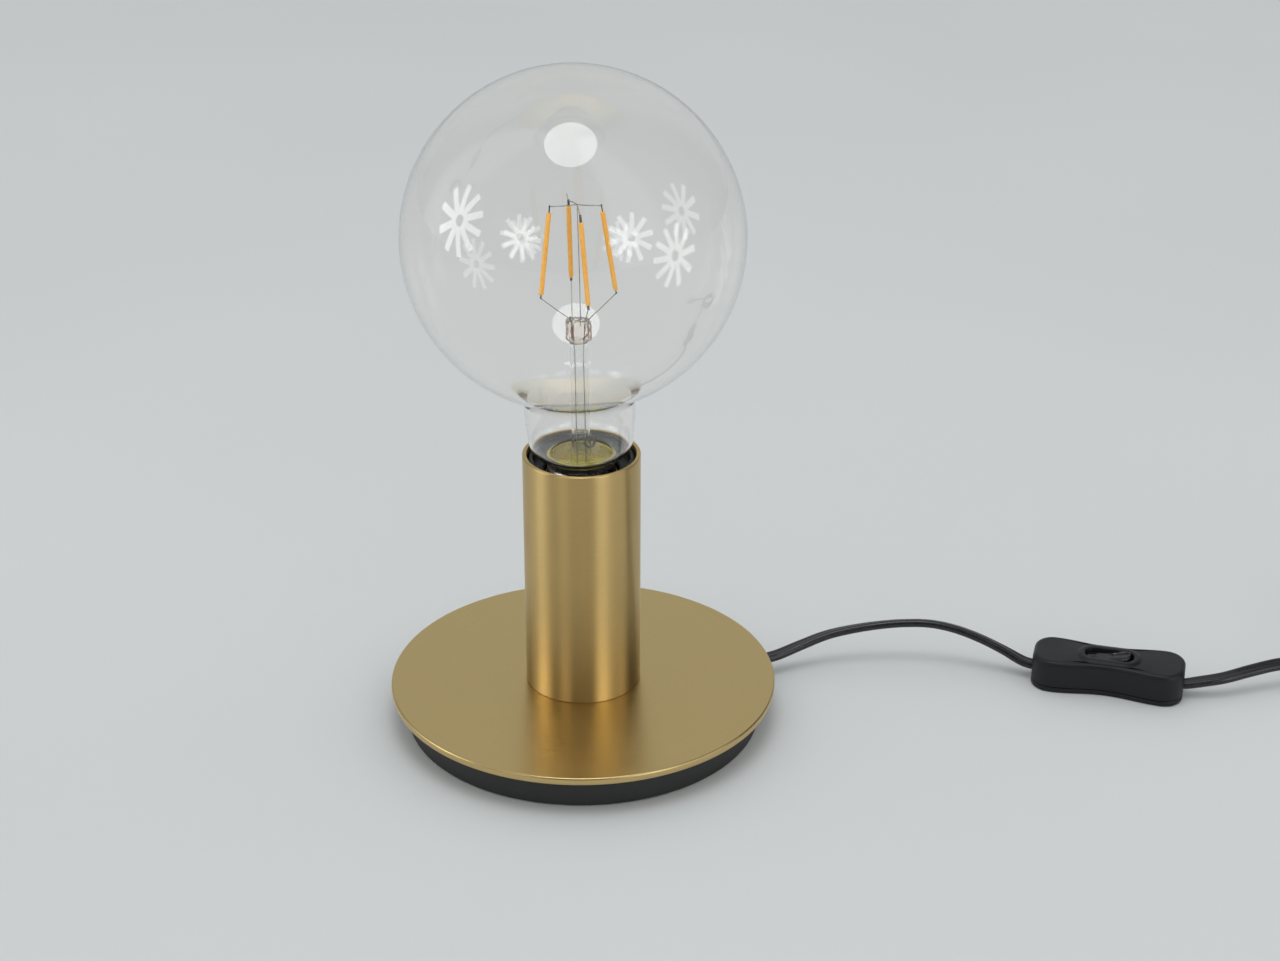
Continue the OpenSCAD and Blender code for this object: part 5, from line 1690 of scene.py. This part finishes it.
@dataclass
class FlatCord:
    """The flat cord: section, route from the foot to the switch, and on to the coil and plug."""

    foot: Foot
    switch: Switch
    width: float = 5.4
    thick: float = 3.2
    exit_r: float = 77.0
    switch_z: float = 5.4
    into_switch: float = 8.0
    coil_x: float = 350.0
    coil_y: float = 60.0
    coil_turns: int = 8
    coil_pitch: float = 3.8
    coil_layer: float = 6.0
    coil_r: float = 30.0
    coil_z: float = 3.5
    lead: Sequence[Station] = (
        Station(78, 30, 7.6, 0), Station(87, 33.6, 9.8, -5), Station(98, 37, 12.8, -12),
        Station(108.5, 39, 14.5, -18), Station(119, 40, 15.8, -22), Station(129, 40, 16.8, -24),
        Station(140, 39, 17.2, -24), Station(150, 37, 16, -22), Station(160, 34, 13.4, -18),
        Station(170, 31, 9.4, -12))
    tail: Sequence[Station] = (
        Station(244.5, 11.8, 6.2, 8), Station(255, 12.4, 7.8, 12), Station(266, 15.6, 9.2, 18),
        Station(278, 18.8, 10.4, 26), Station(290, 21.4, 10, 38), Station(303, 23, 8.6, 52),
        Station(317, 23.6, 6.4, 68), Station(332, 23.2, 4.4, 82))
    end: Sequence[Station] = (
        Station(365, 22.4, 8.6, 80), Station(373, 17.6, 7.4, 60), Station(378, 9.6, 6.2, 35),
        Station(380, 0, 6, 12), Station(380, -10, 6.8, 0))
    lead_length: float = 0.1237
    tail_length: float = 1.68
    lead_route: list[Station] = field(default_factory=list)
    tail_route: list[Station] = field(default_factory=list)
    cords: list[Item] = field(default_factory=list)

    def in_switch(self, x: float, z: float) -> Station:
        """A station given along the switch's axis."""
        a = math.radians(self.switch.yaw)
        return Station(self.switch.x + x * math.cos(a), self.switch.y + x * math.sin(a), z)

    def section(self) -> list[Flat]:
        """The cord's outline: two round edges and a faint valley between the cores.

        Returns:
            Its points, anticlockwise.
        """
        r = self.thick / 2
        half = self.width / 2 - r
        outline = []
        for sign in (1, -1):
            outline += [(sign * (half + r * math.cos(a)), sign * r * math.sin(a))
                        for a in (math.radians(-80 + 20 * i) for i in range(9))]
            outline += [(sign * x, sign * (r - 0.3 * math.cos(math.pi * x / (2 * half))))
                        for x in (half * 0.6, 0.0, -half * 0.6)]
        return outline

    def coil(self) -> list[Station]:
        """The stored coil: it spirals in on its lower layer and out again on its upper one.

        Returns:
            Its stations, from the outer turn on.
        """
        turns, steps = self.coil_turns, 40
        outer = self.coil_r + self.coil_pitch * turns / 4
        stations = []
        for i in range(turns * steps + 1):
            u = i / steps
            a = math.radians(360 * u - 90)
            r = outer - self.coil_pitch * min(u, turns - u)
            t = min(1.0, max(0.0, (u - turns / 2 + 0.25) / 0.5))
            stations.append(Station(self.coil_x + r * math.cos(a), self.coil_y + r * math.sin(a),
                                    self.coil_z + self.coil_layer * t * t * (3 - 2 * t), 90))
        return stations

    def smooth(self, stations: Sequence[Station], pieces: int) -> list[Station]:
        """A smooth route through stations, its roll turning evenly.

        Args:
            stations: stations that it passes.
            pieces: steps between two of them.

        Returns:
            The route's stations.
        """
        line = smooth_route([Vector((s.x, s.y, s.z)) for s in stations], pieces)
        rolls = []
        for a, b in zip(stations, stations[1:]):
            rolls += [a.roll + (b.roll - a.roll) * k / pieces for k in range(pieces)]
        rolls.append(stations[-1].roll)
        return [Station(*p, roll) for p, roll in zip(line, rolls)]

    def make(self, name: str, route: Sequence[Station], first: Vector, last: Vector) -> Item:
        """Sweeps the section along a route.

        Args:
            name: name of the piece.
            route: its stations.
            first: direction at the start.
            last: direction at the end.

        Returns:
            The piece.
        """
        points = [Vector((s.x, s.y, s.z)) for s in route]
        up = Vector((0, 0, 1))
        rings = []
        for i, (station, point) in enumerate(zip(route, points)):
            if i == 0:
                along = first
            elif i == len(points) - 1:
                along = last
            else:
                along = (points[i + 1] - point).normalized() + (point - points[i - 1]).normalized()
            along = along.normalized()
            side = up.cross(along).normalized()
            top = along.cross(side)
            c, s = math.cos(math.radians(station.roll)), math.sin(math.radians(station.roll))
            rings.append([point + (x * c - y * s) * side + (x * s + y * c) * top for x, y in self.section()])
        return piece(skin(rings), name, "base", sharp=60)

    def build(self) -> None:
        """Makes both cords, before anything else of the lamp."""
        a, yaw = math.radians(self.foot.bearing), math.radians(self.switch.yaw)
        out = Vector((math.cos(a), math.sin(a), 0))
        through = Vector((math.cos(yaw), math.sin(yaw), 0))
        half = self.switch.length / 2
        start = Station(self.exit_r * out.x, self.exit_r * out.y, self.foot.bush_z)
        self.lead_route = self.smooth(
            [start, *self.lead, self.in_switch(-half - 4, self.switch_z + 0.9),
             self.in_switch(1 - half, self.switch_z), self.in_switch(self.into_switch - half, self.switch_z)], 5)
        coil = self.coil()
        tail = self.smooth([self.in_switch(half - self.into_switch, self.switch_z),
                            self.in_switch(half, self.switch_z), *self.tail, coil[0]], 5)
        end = self.smooth([coil[-1], *self.end], 6)
        self.tail_route = tail[:-1] + coil + end[1:]
        lead = self.make("cord_to_switch", self.lead_route, out, through)
        stored = self.make("cord_to_plug", self.tail_route, through, Vector((0, -1, 0)))
        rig.replaces(lead, "cord_lead")
        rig.replaces(stored, "cord_tail", "cord_coil", "cord_plug_end")
        self.cords = [lead, stored]

    def path(self, route: Sequence[Station]) -> list[tuple[float, float, float]]:
        """A route in metres."""
        return [(s.x * MM, s.y * MM, s.z * MM) for s in route]

    def declare(self, on_switch: Sequence[object], on_plug: Sequence[object]) -> None:
        """Says what the cords are, once the pieces on them are made.

        Args:
            on_switch: the switch's pieces.
            on_plug: the plug's pieces and the coil's tie.
        """
        lead, tail = self.path(self.lead_route), self.path(self.tail_route)
        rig.cord(self.cords[0], exit=lead[0], length=self.lead_length, diameter=self.width * MM, far_end="fitting",
                stiffness="medium", lay="loose", path=lead, with_pieces=on_switch)
        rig.cord(self.cords[1], exit=tail[0], length=self.tail_length, diameter=self.width * MM, far_end="plug",
                stiffness="medium", lay="coiled", path=tail, with_pieces=on_plug)

    def dress(self) -> None:
        """Puts the sheath on both cords."""
        for item in self.cords:
            WARDROBE.dress(item, CORD)


# ---------------------------------------------------------------- the whole

def write_sizes() -> None:
    """Writes the CAD box and the dressed lamp's box."""
    boxes = {"cad": [list(c) for c in CAD_BOX], "visual": [list(c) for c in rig.bounds()]}
    with open("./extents.json", "w") as out:
        json.dump(boxes, out)


def main() -> None:
    """Builds the set and the lamp, dresses it, and declares its cords."""
    logging.basicConfig(level=logging.INFO, format="%(message)s")
    bpy.context.scene.view_settings.view_transform = "Standard"
    studio = Studio()
    studio.make_camera()
    foot, column, bulb, switch, plug = Foot(), Column(), Bulb(), Switch(), Plug()
    cord = FlatCord(foot, switch)
    cord.build()
    studio.make_world()
    studio.make_floor()
    studio.make_lamps()
    for part in (foot, column, bulb, switch, plug):
        part.build()
    for part in (cord, foot, column, bulb, switch, plug):
        part.dress()
    WARDROBE.dress_carried()
    cord.declare([*switch.pieces, *switch.inside], plug.pieces)
    write_sizes()


if __name__ == "__main__":
    main()
